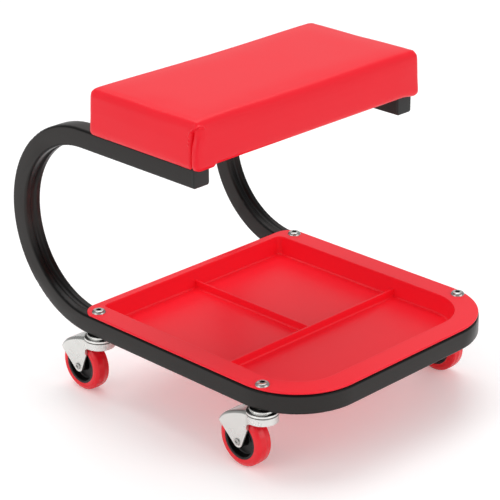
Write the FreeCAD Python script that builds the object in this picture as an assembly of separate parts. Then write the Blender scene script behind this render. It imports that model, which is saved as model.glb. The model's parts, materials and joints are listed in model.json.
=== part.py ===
"""Creeper seat: a padded stool on a bent tube frame with a moulded tool tray and four swivel casters.

Millimetres. X runs across the seat, the front is towards -Y and +Z is up. The origin is on the
floor under the middle of the frame's length and width.
"""
import FreeCAD
import Part
import math
import os

os.makedirs("parts", exist_ok=True)

Vector = FreeCAD.Vector
ORIGIN = Vector(0, 0, 0)
X_AXIS = Vector(1, 0, 0)
Y_AXIS = Vector(0, 1, 0)
Z_AXIS = Vector(0, 0, 1)
FULL_TURN = 360
HALF_TURN = 180
QUARTER_TURN = 90
HEXAGON_SIDES = 6

# One overrun serves every cut, and points closer than the second length are the same point
OVERRUN = 5.0
SAME_POINT = 0.00001

# Frame: one length of square steel tube, bent six times
TUBE = 25.4
TUBE_WALL = 1.5
TUBE_CORNER = 3.5
FRAME_WIDTH = 375.0
FRAME_DEPTH = 499.0
SIDE_BEND_RADIUS = 122.5
FRONT_BEND_RADIUS = 76.2
ARM_LENGTH = 195.0
CREASE_RADIUS = 6.0
CREASE_DEPTH = 3.0
CREASE_END_DEPTH = 1.2

# Plastic cap in each arm's open end
CAP_HEAD = 3.2
CAP_ROUND = 2.0
CAP_PLUG = 14.0
CAP_PLUG_WALL = 2.0
CAP_PLUG_GAP = 0.1

# Tray: one moulding with a flat rim that lies on the base of the frame. Its back edge lies a
# little past the start of the side bends.
TRAY_PAST_BEND = 13.2
TRAY_RIM = 3.0
TRAY_RIM_SIDE = 30.0
TRAY_RIM_BACK = 11.0
TRAY_RIM_ROUND = 1.0
TRAY_BACK_CORNER = 22.0
TRAY_DEPTH = 25.4
TRAY_WALL = 2.5
TRAY_DRAFT = 2.0
POCKET_BACK_CORNER = 7.0
DIVIDER_HEIGHT = 10.5
DIVIDER_WALL = 3.0
FRONT_COMPARTMENT = 130.5
BEND_CLEARANCE = 0.3

# Seat: board, foam and a cover folded under the board. The share is the round of the corner
# fold's arched head over half of the fold's width.
SEAT_DEPTH = 186.0
SEAT_HEIGHT = 55.0
SEAT_FRONT_OVERHANG = 11.0
SEAT_SIDE_OVERHANG = 2.5
SEAT_CROWN = 4.0
SEAT_CORNER = 4.0
SEAT_CORNER_STEP = 0.03
SEAT_EDGE_ROUND = 12.0
SEAT_FOOT_INSET = 0.6
SEAT_TOP_INSET = 3.0
SEAT_BULGE_HEIGHT = 16.0
COVER = 1.2
COVER_TURN_UNDER = 36.0
FOAM_SKIRT = 3.0
BOARD = 12.0
BOARD_CORNER = 9.0
FOLD_LINE = 10.0
FOLD_ROUND = 9.0
FOLD_TUCK = 2.0
FOLD_TOP_GAP = 4.0
FOLD_ARCH_SHARE = 0.96

# Staples that hold the cover to the board
STAPLE_CROWN = 10.0
STAPLE_WIDTH = 1.2
STAPLE_WIRE = 0.6
STAPLE_LEG = 6.0
STAPLE_EDGE_GAP = 5.0
STAPLE_END_GAP = 22.0
STAPLE_PITCH = 36.0

# Bolts inside the arms, up through their top wall into tee nuts in the board
SEAT_BOLT_RADIUS = 3.0
SEAT_BOLT_HEAD_FLATS = 10.0
SEAT_BOLT_HEAD = 4.0
SEAT_BOLT_HOLE_GAP = 0.3
SEAT_BOLT_INSET = 45.0
SEAT_WASHER_RADIUS = 6.0
SEAT_WASHER = 1.6
SPANNER_HOLE_GAP = 1.0
TEE_NUT_FLANGE_RADIUS = 9.5
TEE_NUT_FLANGE = 1.4
TEE_NUT_BARREL_RADIUS = 4.2
TEE_NUT_BARREL = 8.0
THREAD_GAP = 0.05

# Caster bolts: button heads over the tray, thin nuts under the casters
CASTER_FRONT_INSET = 71.0
CASTER_BEFORE_BEND = 8.8
BOLT_RADIUS = 5.0
BOLT_LENGTH = 50.0
BOLT_HEAD_RADIUS = 8.75
BOLT_HEAD = 3.9
BOLT_HEAD_RIM = 0.8
BOLT_HEAD_SWELL = 0.8
BOLT_HEAD_TOP_RADIUS = 4.2
BOLT_SOCKET_FLATS = 6.0
BOLT_SOCKET_DEPTH = 2.6
BOLT_HOLE_GAP = 0.3
NUT_FLATS = 16.0
NUT_HEIGHT = 5.0

# Caster: heights and radii about the swivel axis
CASTER_HEIGHT = 84.0
RING_RADIUS = 19.5
RACE_SHEET = 1.7
RACE_ROUND = 0.8
NECK_RADIUS = 15.5
NECK_HEIGHT = 2.6
FLARE_DROP = 0.8
RACE_CAP_HEIGHT = 6.0
RACE_RIM_GAP = 1.0
TABLE_EDGE_GAP = 1.0
TABLE_RISE = 1.2
TABLE_PLATE = 2.6
RING_SKIRT = 9.0
RING_WALL = 2.2
BALL_COUNT = 12
UPPER_BALL_WALL_GAP = 0.85
LOWER_BALL_RADIUS = 1.6
LOWER_BALL_PITCH_RADIUS = 10.3
GROOVE_DEPTH = 0.5
GROOVE_GAP = 0.05
RUNNING_GAP = 0.3
LOWER_RACE = 1.6
LOWER_RACE_RADIUS = 13.0
KINGPIN_WALL = 1.3
KINGPIN_BORE_GAP = 0.2
KINGPIN_FLANGE = 0.9
KINGPIN_FLANGE_REACH = 2.1
KINGPIN_SEAT_GAP = 0.1
FORK_HOLE_GAP = 1.1

# Caster: fork legs, axle and wheel
TRAIL = 27.5
WHEEL_DIAMETER = 68.0
WHEEL_WIDTH = 22.5
WHEEL_SIDE_GAP = 1.0
WHEEL_TOP_GAP = 1.6
FORK_SHEET = 2.0
FORK_ROUND = 4.5
HOOD_BACK_ANGLE = 31.0
HOOD_TOP_ANGLE = 58.0
HOOD_SWELL = 1.2
LEG_TIP_RADIUS = 7.5
LEG_FRONT = 11.0
WEB_ROUND = 12.5
AXLE_RADIUS = 3.0
AXLE_HEAD_RADIUS = 4.2
AXLE_HEAD = 1.5
AXLE_DIMPLE_RADIUS = 1.8
AXLE_DIMPLE = 0.8
AXLE_HOLE_GAP = 0.05
BUSH_WALL = 1.5
BUSH_END_GAP = 0.1
HUB_RADIUS = 24.0
HUB_WIDTH = 21.5
HUB_RIM_WALL = 3.6
HUB_WEB = 5.0
HUB_BOSS_RADIUS = 8.0
HUB_BOSS_END_GAP = 0.6
HUB_ROUND = 0.8
HUB_KEY = 2.0
HUB_KEY_WIDTH = 7.0
TYRE_SHOULDER = 4.5

# Places that follow from the sizes
HALF_TUBE = TUBE / 2
RAIL_X = FRAME_WIDTH / 2 - HALF_TUBE
FRONT_Y = -FRAME_DEPTH / 2
BEND_Y = FRAME_DEPTH / 2 - HALF_TUBE - SIDE_BEND_RADIUS
RAIL_Z = CASTER_HEIGHT + HALF_TUBE
BEND_Z = RAIL_Z + SIDE_BEND_RADIUS
ARM_Z = BEND_Z + SIDE_BEND_RADIUS
ARM_FRONT_Y = BEND_Y - ARM_LENGTH
RAIL_TOP = RAIL_Z + HALF_TUBE
ARM_TOP = ARM_Z + HALF_TUBE
ARM_BOTTOM = ARM_Z - HALF_TUBE
ARM_ROOF = ARM_TOP - TUBE_WALL
TRAY_TOP = RAIL_TOP + TRAY_RIM
TRAY_FLOOR = TRAY_TOP - TRAY_DEPTH
TRAY_BACK_Y = BEND_Y + TRAY_PAST_BEND
SEAT_WIDTH = FRAME_WIDTH + 2 * SEAT_SIDE_OVERHANG
SEAT_FRONT_Y = ARM_FRONT_Y - CAP_HEAD - SEAT_FRONT_OVERHANG
SEAT_Y = SEAT_FRONT_Y + SEAT_DEPTH / 2
BOARD_BOTTOM = ARM_TOP + COVER
BOARD_TOP = BOARD_BOTTOM + BOARD
WHEEL_RADIUS = WHEEL_DIAMETER / 2
CASTERS = {
    "front_left": (-RAIL_X, FRONT_Y + CASTER_FRONT_INSET),
    "front_right": (RAIL_X, FRONT_Y + CASTER_FRONT_INSET),
    "rear_left": (-RAIL_X, BEND_Y - CASTER_BEFORE_BEND),
    "rear_right": (RAIL_X, BEND_Y - CASTER_BEFORE_BEND),
}
SEAT_BOLTS = [
    (side * RAIL_X, SEAT_Y + end * (SEAT_DEPTH / 2 - SEAT_BOLT_INSET))
    for side in (-1, 1)
    for end in (-1, 1)
]

# Heights in the caster's stack, from the frame down
CAP_UNDERSIDE = CASTER_HEIGHT - RACE_SHEET
CAP_RIM = CASTER_HEIGHT - RACE_CAP_HEIGHT
RING_TOP = CAP_RIM - RACE_RIM_GAP
RING_BOTTOM = RING_TOP - RING_SKIRT
TABLE_TOP = RING_TOP + TABLE_RISE
TABLE_BOTTOM = TABLE_TOP - TABLE_PLATE
TABLE_RADIUS = RING_RADIUS - RACE_SHEET - TABLE_EDGE_GAP
UPPER_BALL_RADIUS = (CAP_UNDERSIDE - TABLE_TOP + GROOVE_DEPTH - RUNNING_GAP) / 2
UPPER_BALL_Z = TABLE_TOP - GROOVE_DEPTH + UPPER_BALL_RADIUS
UPPER_BALL_PITCH_RADIUS = NECK_RADIUS - RACE_SHEET - UPPER_BALL_WALL_GAP - UPPER_BALL_RADIUS
LOWER_BALL_Z = TABLE_BOTTOM - RUNNING_GAP - LOWER_BALL_RADIUS
LOWER_RACE_TOP = LOWER_BALL_Z - LOWER_BALL_RADIUS + GROOVE_DEPTH
LOWER_RACE_BOTTOM = LOWER_RACE_TOP - LOWER_RACE
NUT_TOP = LOWER_RACE_BOTTOM - KINGPIN_FLANGE
NUT_BOTTOM = NUT_TOP - NUT_HEIGHT
KINGPIN_BORE = BOLT_RADIUS + KINGPIN_BORE_GAP
KINGPIN_RADIUS = KINGPIN_BORE + KINGPIN_WALL
KINGPIN_FLANGE_RADIUS = KINGPIN_RADIUS + KINGPIN_FLANGE_REACH
LEG_GAP = WHEEL_WIDTH + 2 * WHEEL_SIDE_GAP
FORK_WIDTH = LEG_GAP + 2 * FORK_SHEET
AXLE_Z = WHEEL_RADIUS
BUSH_RADIUS = AXLE_RADIUS + AXLE_HOLE_GAP + BUSH_WALL


def across(u, v):
    """Places an outline's point in the plane across the frame, u along X and v along Z."""
    return Vector(u, 0, v)


def along(u, v):
    """Places an outline's point in the plane along the frame, u along Y and v along Z."""
    return Vector(0, u, v)


def flat(u, v):
    """Places an outline's point in the level plane, u along X and v along Y."""
    return Vector(u, v, 0)


def rounded_wire(corners, place):
    """Closed wire through corners (u, v, radius); each corner with a radius is a tangent arc."""
    arcs = []
    for index, (u, v, radius) in enumerate(corners):
        here = Vector(u, v, 0)
        before = corners[index - 1]
        after = corners[(index + 1) % len(corners)]
        back = (Vector(before[0], before[1], 0) - here).normalize()
        ahead = (Vector(after[0], after[1], 0) - here).normalize()
        half = back.getAngle(ahead) / 2
        reach = radius / math.tan(half)
        middle = (back + ahead).normalize() * (radius / math.sin(half) - radius)
        arcs.append((here + back * reach, here + middle, here + ahead * reach, radius))
    edges = []
    for index, (start, middle, end, radius) in enumerate(arcs):
        if radius > 0:
            points = [place(point.x, point.y) for point in (start, middle, end)]
            edges.append(Part.Arc(*points).toShape())
        following = arcs[(index + 1) % len(arcs)][0]
        if (following - end).Length > SAME_POINT:
            ends = (place(end.x, end.y), place(following.x, following.y))
            edges.append(Part.LineSegment(*ends).toShape())
    return Part.Wire(edges)


def rectangle(half_width, low, high, low_radius, high_radius):
    """Corners of a rectangle about the middle, with one radius at its low and one at its high end."""
    return [
        (-half_width, low, low_radius),
        (half_width, low, low_radius),
        (half_width, high, high_radius),
        (-half_width, high, high_radius),
    ]


def slab(corners, bottom, top):
    """Upright solid with a level outline."""
    solid = Part.Face(rounded_wire(corners, flat)).extrude(Z_AXIS * (top - bottom))
    return solid.translated(Z_AXIS * bottom)


def centred_box(size_x, size_y, bottom, top, centre_x=0, centre_y=0):
    """Box about an upright axis."""
    corner = Vector(centre_x - size_x / 2, centre_y - size_y / 2, bottom)
    return Part.makeBox(size_x, size_y, top - bottom, corner)


def rod(radius, bottom, top, centre_x=0, centre_y=0):
    """Upright cylinder."""
    return Part.makeCylinder(radius, top - bottom, Vector(centre_x, centre_y, bottom))


def collar(radius, bore, bottom, top, centre_x=0, centre_y=0):
    """Upright cylinder with a through bore."""
    body = rod(radius, bottom, top, centre_x, centre_y)
    return body.cut(rod(bore, bottom - OVERRUN, top + OVERRUN, centre_x, centre_y))


def hexagon(flats, bottom, top, centre_x=0, centre_y=0):
    """Upright six-sided prism, its size given across flats."""
    radius = flats / math.sqrt(3)
    corners = []
    for step in range(HEXAGON_SIDES):
        angle = math.radians(FULL_TURN * step / HEXAGON_SIDES)
        corners.append((centre_x + radius * math.cos(angle), centre_y + radius * math.sin(angle), 0))
    return slab(corners, bottom, top)


def turned(corners):
    """Solid turned about Z from an outline of (radius, height, round)."""
    face = Part.Face(rounded_wire(corners, across))
    return face.revolve(ORIGIN, Z_AXIS, FULL_TURN)


def both_sides(shape):
    """The shape with its mirror image across the middle plane."""
    return shape.fuse(shape.mirror(ORIGIN, X_AXIS))


def group(solids):
    """Separate solids kept together as one node."""
    return Part.makeCompound(solids)


def tube_section(size, corner, place):
    """Face of a rounded square about the middle."""
    return Part.Face(rounded_wire(rectangle(size / 2, -size / 2, size / 2, corner, corner), place))


def tube_run(size, corner, arm_extension):
    """The whole bent bar of one section size, from one arm's end round to the other's."""
    section = tube_section(size, corner, across)
    arm_length = ARM_LENGTH + arm_extension
    arm = section.extrude(Y_AXIS * arm_length)
    arm.translate(Vector(-RAIL_X, BEND_Y - arm_length, ARM_Z))
    rail_start = section.translated(Vector(-RAIL_X, BEND_Y, RAIL_Z))
    side_bend = rail_start.revolve(Vector(0, BEND_Y, BEND_Z), X_AXIS, HALF_TURN)
    corner_y = FRONT_Y + HALF_TUBE + FRONT_BEND_RADIUS
    rail = rail_start.extrude(Y_AXIS * (corner_y - BEND_Y))
    corner_x = FRONT_BEND_RADIUS - RAIL_X
    rail_end = section.translated(Vector(-RAIL_X, corner_y, RAIL_Z))
    front_bend = rail_end.revolve(Vector(corner_x, corner_y, 0), Z_AXIS, QUARTER_TURN)
    front_section = tube_section(size, corner, along)
    front_section.translate(Vector(corner_x, FRONT_Y + HALF_TUBE, RAIL_Z))
    front_rail = front_section.extrude(X_AXIS * (-2 * corner_x))
    side = [arm, side_bend, rail, front_bend]
    other_side = [piece.mirror(ORIGIN, X_AXIS) for piece in side]
    return front_rail.multiFuse(side + other_side).removeSplitter()


def side_crease(extra):
    """Rings that press a crease into the inside of both side bends, deepest at the back."""
    radius = CREASE_RADIUS + extra
    inside = SIDE_BEND_RADIUS - HALF_TUBE
    ring_radius = inside + CREASE_END_DEPTH - CREASE_RADIUS
    back_shift = CREASE_DEPTH - CREASE_END_DEPTH
    centre = Vector(-RAIL_X, BEND_Y + back_shift, BEND_Z)
    return both_sides(Part.makeTorus(ring_radius, radius, centre, X_AXIS))


def frame_tube():
    outside = tube_run(TUBE, TUBE_CORNER, 0).cut(side_crease(0))
    hollow = tube_run(TUBE - 2 * TUBE_WALL, TUBE_CORNER - TUBE_WALL, OVERRUN)
    tube = outside.cut(hollow.cut(side_crease(TUBE_WALL)))
    for x, y in CASTERS.values():
        tube = tube.cut(rod(BOLT_RADIUS + BOLT_HOLE_GAP, CASTER_HEIGHT - OVERRUN, RAIL_TOP + OVERRUN, x, y))
    for x, y in SEAT_BOLTS:
        tube = tube.cut(rod(SEAT_BOLT_RADIUS + SEAT_BOLT_HOLE_GAP, ARM_Z, ARM_TOP + OVERRUN, x, y))
        tube = tube.cut(rod(SEAT_WASHER_RADIUS + SPANNER_HOLE_GAP, ARM_BOTTOM - OVERRUN, ARM_Z, x, y))
    return tube


def arm_cap(side):
    """Square plug pushed into an arm, with a rounded head flush with the tube."""
    head = tube_section(TUBE, TUBE_CORNER, across).extrude(Y_AXIS * -CAP_HEAD)
    front_edges = [edge for edge in head.Edges if edge.BoundBox.YMax < -CAP_HEAD / 2]
    head = head.makeFillet(CAP_ROUND, front_edges)
    bore = TUBE - 2 * TUBE_WALL
    plug_size = bore - 2 * CAP_PLUG_GAP
    plug = tube_section(plug_size, TUBE_CORNER - TUBE_WALL, across).extrude(Y_AXIS * CAP_PLUG)
    pocket = Part.makeBox(
        plug_size - 2 * CAP_PLUG_WALL,
        CAP_PLUG,
        plug_size - 2 * CAP_PLUG_WALL,
        Vector(CAP_PLUG_WALL - plug_size / 2, CAP_PLUG_WALL, CAP_PLUG_WALL - plug_size / 2),
    )
    cap = head.fuse(plug.cut(pocket)).removeSplitter()
    return cap.translated(Vector(side * RAIL_X, ARM_FRONT_Y, ARM_Z))


def pocket_corners(inset):
    """Outline of the tray's pocket, drawn in by an inset."""
    half_width = FRAME_WIDTH / 2 - TRAY_RIM_SIDE - inset
    front = FRONT_Y + TRAY_RIM_SIDE + inset
    back = TRAY_BACK_Y - TRAY_RIM_BACK - inset
    front_corner = FRONT_BEND_RADIUS + HALF_TUBE - TRAY_RIM_SIDE - inset
    return rectangle(half_width, front, back, front_corner, POCKET_BACK_CORNER - inset)


def basin(outset, bottom, top):
    """Tapered solid of the pocket: its mouth at the rim's top, its floor drawn in by the draft."""
    slope = TRAY_DRAFT / TRAY_DEPTH
    wires = []
    for height in (bottom, top):
        inset = (TRAY_TOP - height) * slope - outset
        wire = rounded_wire(pocket_corners(inset), flat)
        wires.append(wire.translated(Z_AXIS * height))
    return Part.makeLoft(wires, True, True)


def tray_dividers():
    """A wall across the tray, and one from its middle to the back."""
    top = TRAY_FLOOR + DIVIDER_HEIGHT
    bottom = TRAY_FLOOR - TRAY_WALL / 2
    cross_y = FRONT_Y + TRAY_RIM_SIDE + FRONT_COMPARTMENT + DIVIDER_WALL / 2
    length = TRAY_BACK_Y - cross_y
    cross_wall = centred_box(FRAME_WIDTH, DIVIDER_WALL, bottom, top, 0, cross_y)
    long_wall = centred_box(DIVIDER_WALL, length, bottom, top, 0, cross_y + length / 2)
    return cross_wall.fuse(long_wall)


def bend_relief():
    """Room over the start of each side bend, where the tube climbs under the tray's back corners."""
    inside = SIDE_BEND_RADIUS - HALF_TUBE - BEND_CLEARANCE
    width = TUBE + 2 * BEND_CLEARANCE
    outline = rectangle(width / 2, -inside - TUBE, -inside, 0, 0)
    face = Part.Face(rounded_wire(outline, across)).translated(Vector(-RAIL_X, BEND_Y, BEND_Z))
    return both_sides(face.revolve(Vector(0, BEND_Y, BEND_Z), X_AXIS, QUARTER_TURN))


def tool_tray():
    front_corner = FRONT_BEND_RADIUS + HALF_TUBE
    outline = rectangle(FRAME_WIDTH / 2, FRONT_Y, TRAY_BACK_Y, front_corner, TRAY_BACK_CORNER)
    rim = slab(outline, RAIL_TOP, TRAY_TOP)
    rim_edges = [edge for edge in rim.Edges if edge.BoundBox.ZMin > RAIL_TOP + TRAY_RIM / 2]
    rim = rim.makeFillet(TRAY_RIM_ROUND, rim_edges)
    shell = rim.fuse(basin(TRAY_WALL, TRAY_FLOOR - TRAY_WALL, TRAY_TOP - TRAY_RIM_ROUND))
    hollow = basin(0, TRAY_FLOOR, TRAY_TOP + OVERRUN)
    walls = tray_dividers().common(basin(TRAY_WALL / 2, TRAY_FLOOR - TRAY_WALL / 2, TRAY_TOP))
    tray = shell.cut(hollow).fuse(walls).removeSplitter()
    tray = tray.cut(bend_relief())
    for x, y in CASTERS.values():
        tray = tray.cut(rod(BOLT_RADIUS + BOLT_HOLE_GAP, RAIL_TOP - OVERRUN, TRAY_TOP + OVERRUN, x, y))
    return tray


def seat_section(inset, corner, foot):
    """Level outline of the seat at a height where its side is drawn in by an inset."""
    half_depth = SEAT_DEPTH / 2 - inset
    corners = rectangle(SEAT_WIDTH / 2 - inset, -half_depth, half_depth, corner, corner)
    return rounded_wire(corners, flat).translated(Z_AXIS * foot)


def crown_block(lower):
    """Deep block whose top is crowned both ways: an arc across the depth, swung along the width."""
    half_depth = SEAT_DEPTH / 2 + OVERRUN
    half_width = SEAT_WIDTH / 2
    top = ARM_TOP + SEAT_HEIGHT - lower
    depth_crown = SEAT_CROWN / 2
    width_crown = SEAT_CROWN - depth_crown
    width_radius = (half_width ** 2 + width_crown ** 2) / (2 * width_crown)
    bottom = ARM_BOTTOM
    centre = Vector(0, 0, top + SEAT_CROWN - width_radius)
    front = Vector(0, -half_depth, top + width_crown)
    back = Vector(0, half_depth, top + width_crown)
    peak = Vector(0, 0, top + SEAT_CROWN)
    front_foot = Vector(0, front.y, bottom)
    back_foot = Vector(0, back.y, bottom)
    edges = [
        Part.Arc(front, peak, back).toShape(),
        Part.LineSegment(back, back_foot).toShape(),
        Part.LineSegment(back_foot, front_foot).toShape(),
        Part.LineSegment(front_foot, front).toShape(),
    ]
    swing = math.degrees(math.asin((half_width + OVERRUN) / width_radius))
    face = Part.Face(Part.Wire(edges)).rotated(centre, Y_AXIS, -swing)
    return face.revolve(centre, Y_AXIS, 2 * swing)


def corner_fold(inset):
    """Tuck at the front right corner, deepest on the end face at the fold line.

    The cover is folded back there, so the corner's round starts again further in, and the tuck
    fades out on the front face. Its head is an arch.
    """
    half_width = SEAT_WIDTH / 2
    front = -SEAT_DEPTH / 2
    fade_x = half_width - FOLD_ROUND - FOLD_TUCK
    fold_y = front + FOLD_LINE
    head = ARM_TOP + SEAT_HEIGHT - FOLD_TOP_GAP
    size_x = half_width + OVERRUN - fade_x
    size_y = FOLD_LINE + OVERRUN
    block = centred_box(size_x, size_y, ARM_BOTTOM, head, fade_x + size_x / 2, fold_y - size_y / 2)
    block = block.cut(rod(FOLD_ROUND - inset, ARM_BOTTOM - OVERRUN, head, fade_x, front + FOLD_ROUND))
    width = (half_width - fade_x + FOLD_LINE) / math.sqrt(2)
    arch = rectangle(width / 2, ARM_BOTTOM, head, 0, width / 2 * FOLD_ARCH_SHARE)
    prism = Part.Face(rounded_wire(arch, across)).extrude(Y_AXIS * (2 * width))
    prism.translate(Y_AXIS * -width)
    prism.rotate(ORIGIN, Z_AXIS, QUARTER_TURN / 2)
    prism.translate(Vector((fade_x + half_width) / 2, (front + fold_y) / 2, 0))
    return block.common(prism)


def cushion(inset):
    """The upholstered block: crowned top, swelled sides and a fold at each corner.

    It is shaped about its own middle and then set in its place along the frame.
    """
    square, cornered = [
        Part.makeLoft([
            seat_section(SEAT_FOOT_INSET + side, corner, ARM_TOP + inset),
            seat_section(side, corner, ARM_TOP + SEAT_BULGE_HEIGHT),
            seat_section(SEAT_TOP_INSET + side, corner, ARM_TOP + SEAT_HEIGHT + SEAT_CROWN + OVERRUN),
        ], True, False)
        for side, corner in ((inset, 0), (inset - SEAT_CORNER_STEP, SEAT_CORNER - inset))
    ]
    block = square.common(crown_block(inset))
    top_edges = [edge for edge in block.Edges if edge.BoundBox.ZMin > ARM_TOP + SEAT_HEIGHT / 2]
    block = block.makeFillet(SEAT_EDGE_ROUND - inset, top_edges).common(cornered)
    fold = both_sides(corner_fold(inset))
    block = block.cut(fold).cut(fold.mirror(ORIGIN, Y_AXIS))
    return block.translated(Y_AXIS * SEAT_Y)


def staple_runs(reach):
    """Even places of one row of staples, as distances from the row's middle."""
    end = reach - STAPLE_END_GAP
    gaps = round(2 * end / STAPLE_PITCH)
    return [end * (2 * step / gaps - 1) for step in range(gaps + 1)]


def staple_places():
    """Centre and direction of each staple, on lines inside the cover's turned edge."""
    inset = COVER_TURN_UNDER - STAPLE_EDGE_GAP
    reach_x = SEAT_WIDTH / 2 - inset
    reach_y = SEAT_DEPTH / 2 - inset
    places = []
    for side in (-1, 1):
        for run in staple_runs(reach_x):
            places.append((run, SEAT_Y + side * reach_y, True))
        for run in staple_runs(reach_y):
            places.append((side * reach_x, SEAT_Y + run, False))
    return places


def staple(x, y, lengthwise):
    """Flat wire crown under the cover with two legs up into the board."""
    crown = centred_box(STAPLE_CROWN, STAPLE_WIDTH, ARM_TOP - STAPLE_WIRE, ARM_TOP)
    leg_x = (STAPLE_CROWN - STAPLE_WIRE) / 2
    legs = [
        centred_box(STAPLE_WIRE, STAPLE_WIDTH, ARM_TOP, ARM_TOP + STAPLE_LEG, side * leg_x)
        for side in (-1, 1)
    ]
    shape = crown.multiFuse(legs).removeSplitter()
    if not lengthwise:
        shape.rotate(ORIGIN, Z_AXIS, QUARTER_TURN)
    return shape.translated(Vector(x, y, 0))


def seat_bolt(x, y):
    """Hex-head bolt, its head inside the arm, reached through a hole in the arm's lower wall."""
    seat = ARM_ROOF - SEAT_WASHER
    head = hexagon(SEAT_BOLT_HEAD_FLATS, seat - SEAT_BOLT_HEAD, seat, x, y)
    return head.fuse(rod(SEAT_BOLT_RADIUS, seat, BOARD_TOP, x, y))


def seat_washer(x, y):
    bore = SEAT_BOLT_RADIUS + SEAT_BOLT_HOLE_GAP
    return collar(SEAT_WASHER_RADIUS, bore, ARM_ROOF - SEAT_WASHER, ARM_ROOF, x, y)


def tee_nut(x, y):
    """Flanged nut on top of the board, its barrel down in the board."""
    bore = SEAT_BOLT_RADIUS + THREAD_GAP
    flange = collar(TEE_NUT_FLANGE_RADIUS, bore, BOARD_TOP, BOARD_TOP + TEE_NUT_FLANGE, x, y)
    barrel = collar(TEE_NUT_BARREL_RADIUS, bore, BOARD_TOP - TEE_NUT_BARREL, BOARD_TOP, x, y)
    return flange.fuse(barrel).removeSplitter()


def board_block(bottom, top):
    """Upright block with the board's outline, which leaves room for the foam's skirt."""
    inset = COVER + FOAM_SKIRT + SEAT_FOOT_INSET
    half_depth = SEAT_DEPTH / 2 - inset
    outline = rectangle(SEAT_WIDTH / 2 - inset, -half_depth, half_depth, BOARD_CORNER, BOARD_CORNER)
    return slab(outline, bottom, top).translated(Y_AXIS * SEAT_Y)


def seat_board(staples):
    board = board_block(BOARD_BOTTOM, BOARD_TOP)
    for x, y in SEAT_BOLTS:
        hole = SEAT_BOLT_RADIUS + SEAT_BOLT_HOLE_GAP
        board = board.cut(rod(hole, BOARD_BOTTOM - OVERRUN, BOARD_TOP + OVERRUN, x, y))
        board = board.cut(rod(TEE_NUT_BARREL_RADIUS, BOARD_TOP - TEE_NUT_BARREL, BOARD_TOP + OVERRUN, x, y))
    return board.cut(staples)


def seat_foam(inside):
    """Foam over the board and down past its edges, with room for the tee nuts."""
    foam = inside.cut(board_block(BOARD_BOTTOM - OVERRUN, BOARD_TOP))
    flange_top = BOARD_TOP + TEE_NUT_FLANGE
    for x, y in SEAT_BOLTS:
        foam = foam.cut(rod(TEE_NUT_FLANGE_RADIUS, BOARD_TOP - TEE_NUT_FLANGE, flange_top, x, y))
    return foam


def seat_cover(inside, staples):
    """Vinyl skin round the foam, turned under the board with an open middle."""
    window = centred_box(
        SEAT_WIDTH - 2 * COVER_TURN_UNDER,
        SEAT_DEPTH - 2 * COVER_TURN_UNDER,
        ARM_TOP - OVERRUN,
        BOARD_BOTTOM,
        0,
        SEAT_Y,
    )
    cover = cushion(0).cut(inside).cut(window)
    for x, y in SEAT_BOLTS:
        hole = SEAT_BOLT_RADIUS + SEAT_BOLT_HOLE_GAP
        cover = cover.cut(rod(hole, ARM_TOP - OVERRUN, BOARD_BOTTOM, x, y))
    return cover.cut(staples)


def caster_bolt():
    """Button-head bolt with a six-sided socket, its head on the tray's rim."""
    rim = across(BOLT_HEAD_RADIUS, TRAY_TOP + BOLT_HEAD_RIM)
    crest = across(BOLT_HEAD_TOP_RADIUS, TRAY_TOP + BOLT_HEAD)
    top = across(0, TRAY_TOP + BOLT_HEAD)
    foot = across(0, TRAY_TOP)
    rim_foot = across(BOLT_HEAD_RADIUS, TRAY_TOP)
    chord = crest - rim
    swell = Vector(chord.z, 0, -chord.x).normalize() * BOLT_HEAD_SWELL
    dome = [
        Part.Arc(rim, rim + chord / 2 + swell, crest).toShape(),
        Part.LineSegment(crest, top).toShape(),
        Part.LineSegment(top, foot).toShape(),
        Part.LineSegment(foot, rim_foot).toShape(),
        Part.LineSegment(rim_foot, rim).toShape(),
    ]
    head = Part.Face(Part.Wire(dome)).revolve(ORIGIN, Z_AXIS, FULL_TURN)
    socket_floor = TRAY_TOP + BOLT_HEAD - BOLT_SOCKET_DEPTH
    head = head.cut(hexagon(BOLT_SOCKET_FLATS, socket_floor, TRAY_TOP + BOLT_HEAD + OVERRUN))
    return head.fuse(rod(BOLT_RADIUS, TRAY_TOP - BOLT_LENGTH, TRAY_TOP)).removeSplitter()


def caster_nut():
    nut = hexagon(NUT_FLATS, NUT_BOTTOM, NUT_TOP)
    return nut.cut(rod(BOLT_RADIUS + THREAD_GAP, NUT_BOTTOM - OVERRUN, NUT_TOP + OVERRUN))


def raceway_cap():
    """Pressed cup under the frame: a short neck flared out to the ring's radius."""
    top = CASTER_HEIGHT
    bore = KINGPIN_RADIUS + KINGPIN_SEAT_GAP
    neck_foot = top - NECK_HEIGHT
    inner_rim = RING_RADIUS - RACE_SHEET
    inner_neck = NECK_RADIUS - RACE_SHEET
    outline = [
        (bore, top, 0),
        (NECK_RADIUS, top, RACE_ROUND),
        (NECK_RADIUS, neck_foot, RACE_ROUND),
        (RING_RADIUS, neck_foot - FLARE_DROP, RACE_ROUND),
        (RING_RADIUS, CAP_RIM, 0),
        (inner_rim, CAP_RIM, 0),
        (inner_rim, neck_foot - FLARE_DROP - RACE_SHEET, 0),
        (inner_neck, neck_foot - RACE_SHEET, 0),
        (inner_neck, CAP_UNDERSIDE, 0),
        (bore, CAP_UNDERSIDE, 0),
    ]
    seat_radius = KINGPIN_FLANGE_RADIUS + KINGPIN_SEAT_GAP
    return turned(outline).cut(rod(seat_radius, top - KINGPIN_FLANGE, top + OVERRUN))


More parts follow.
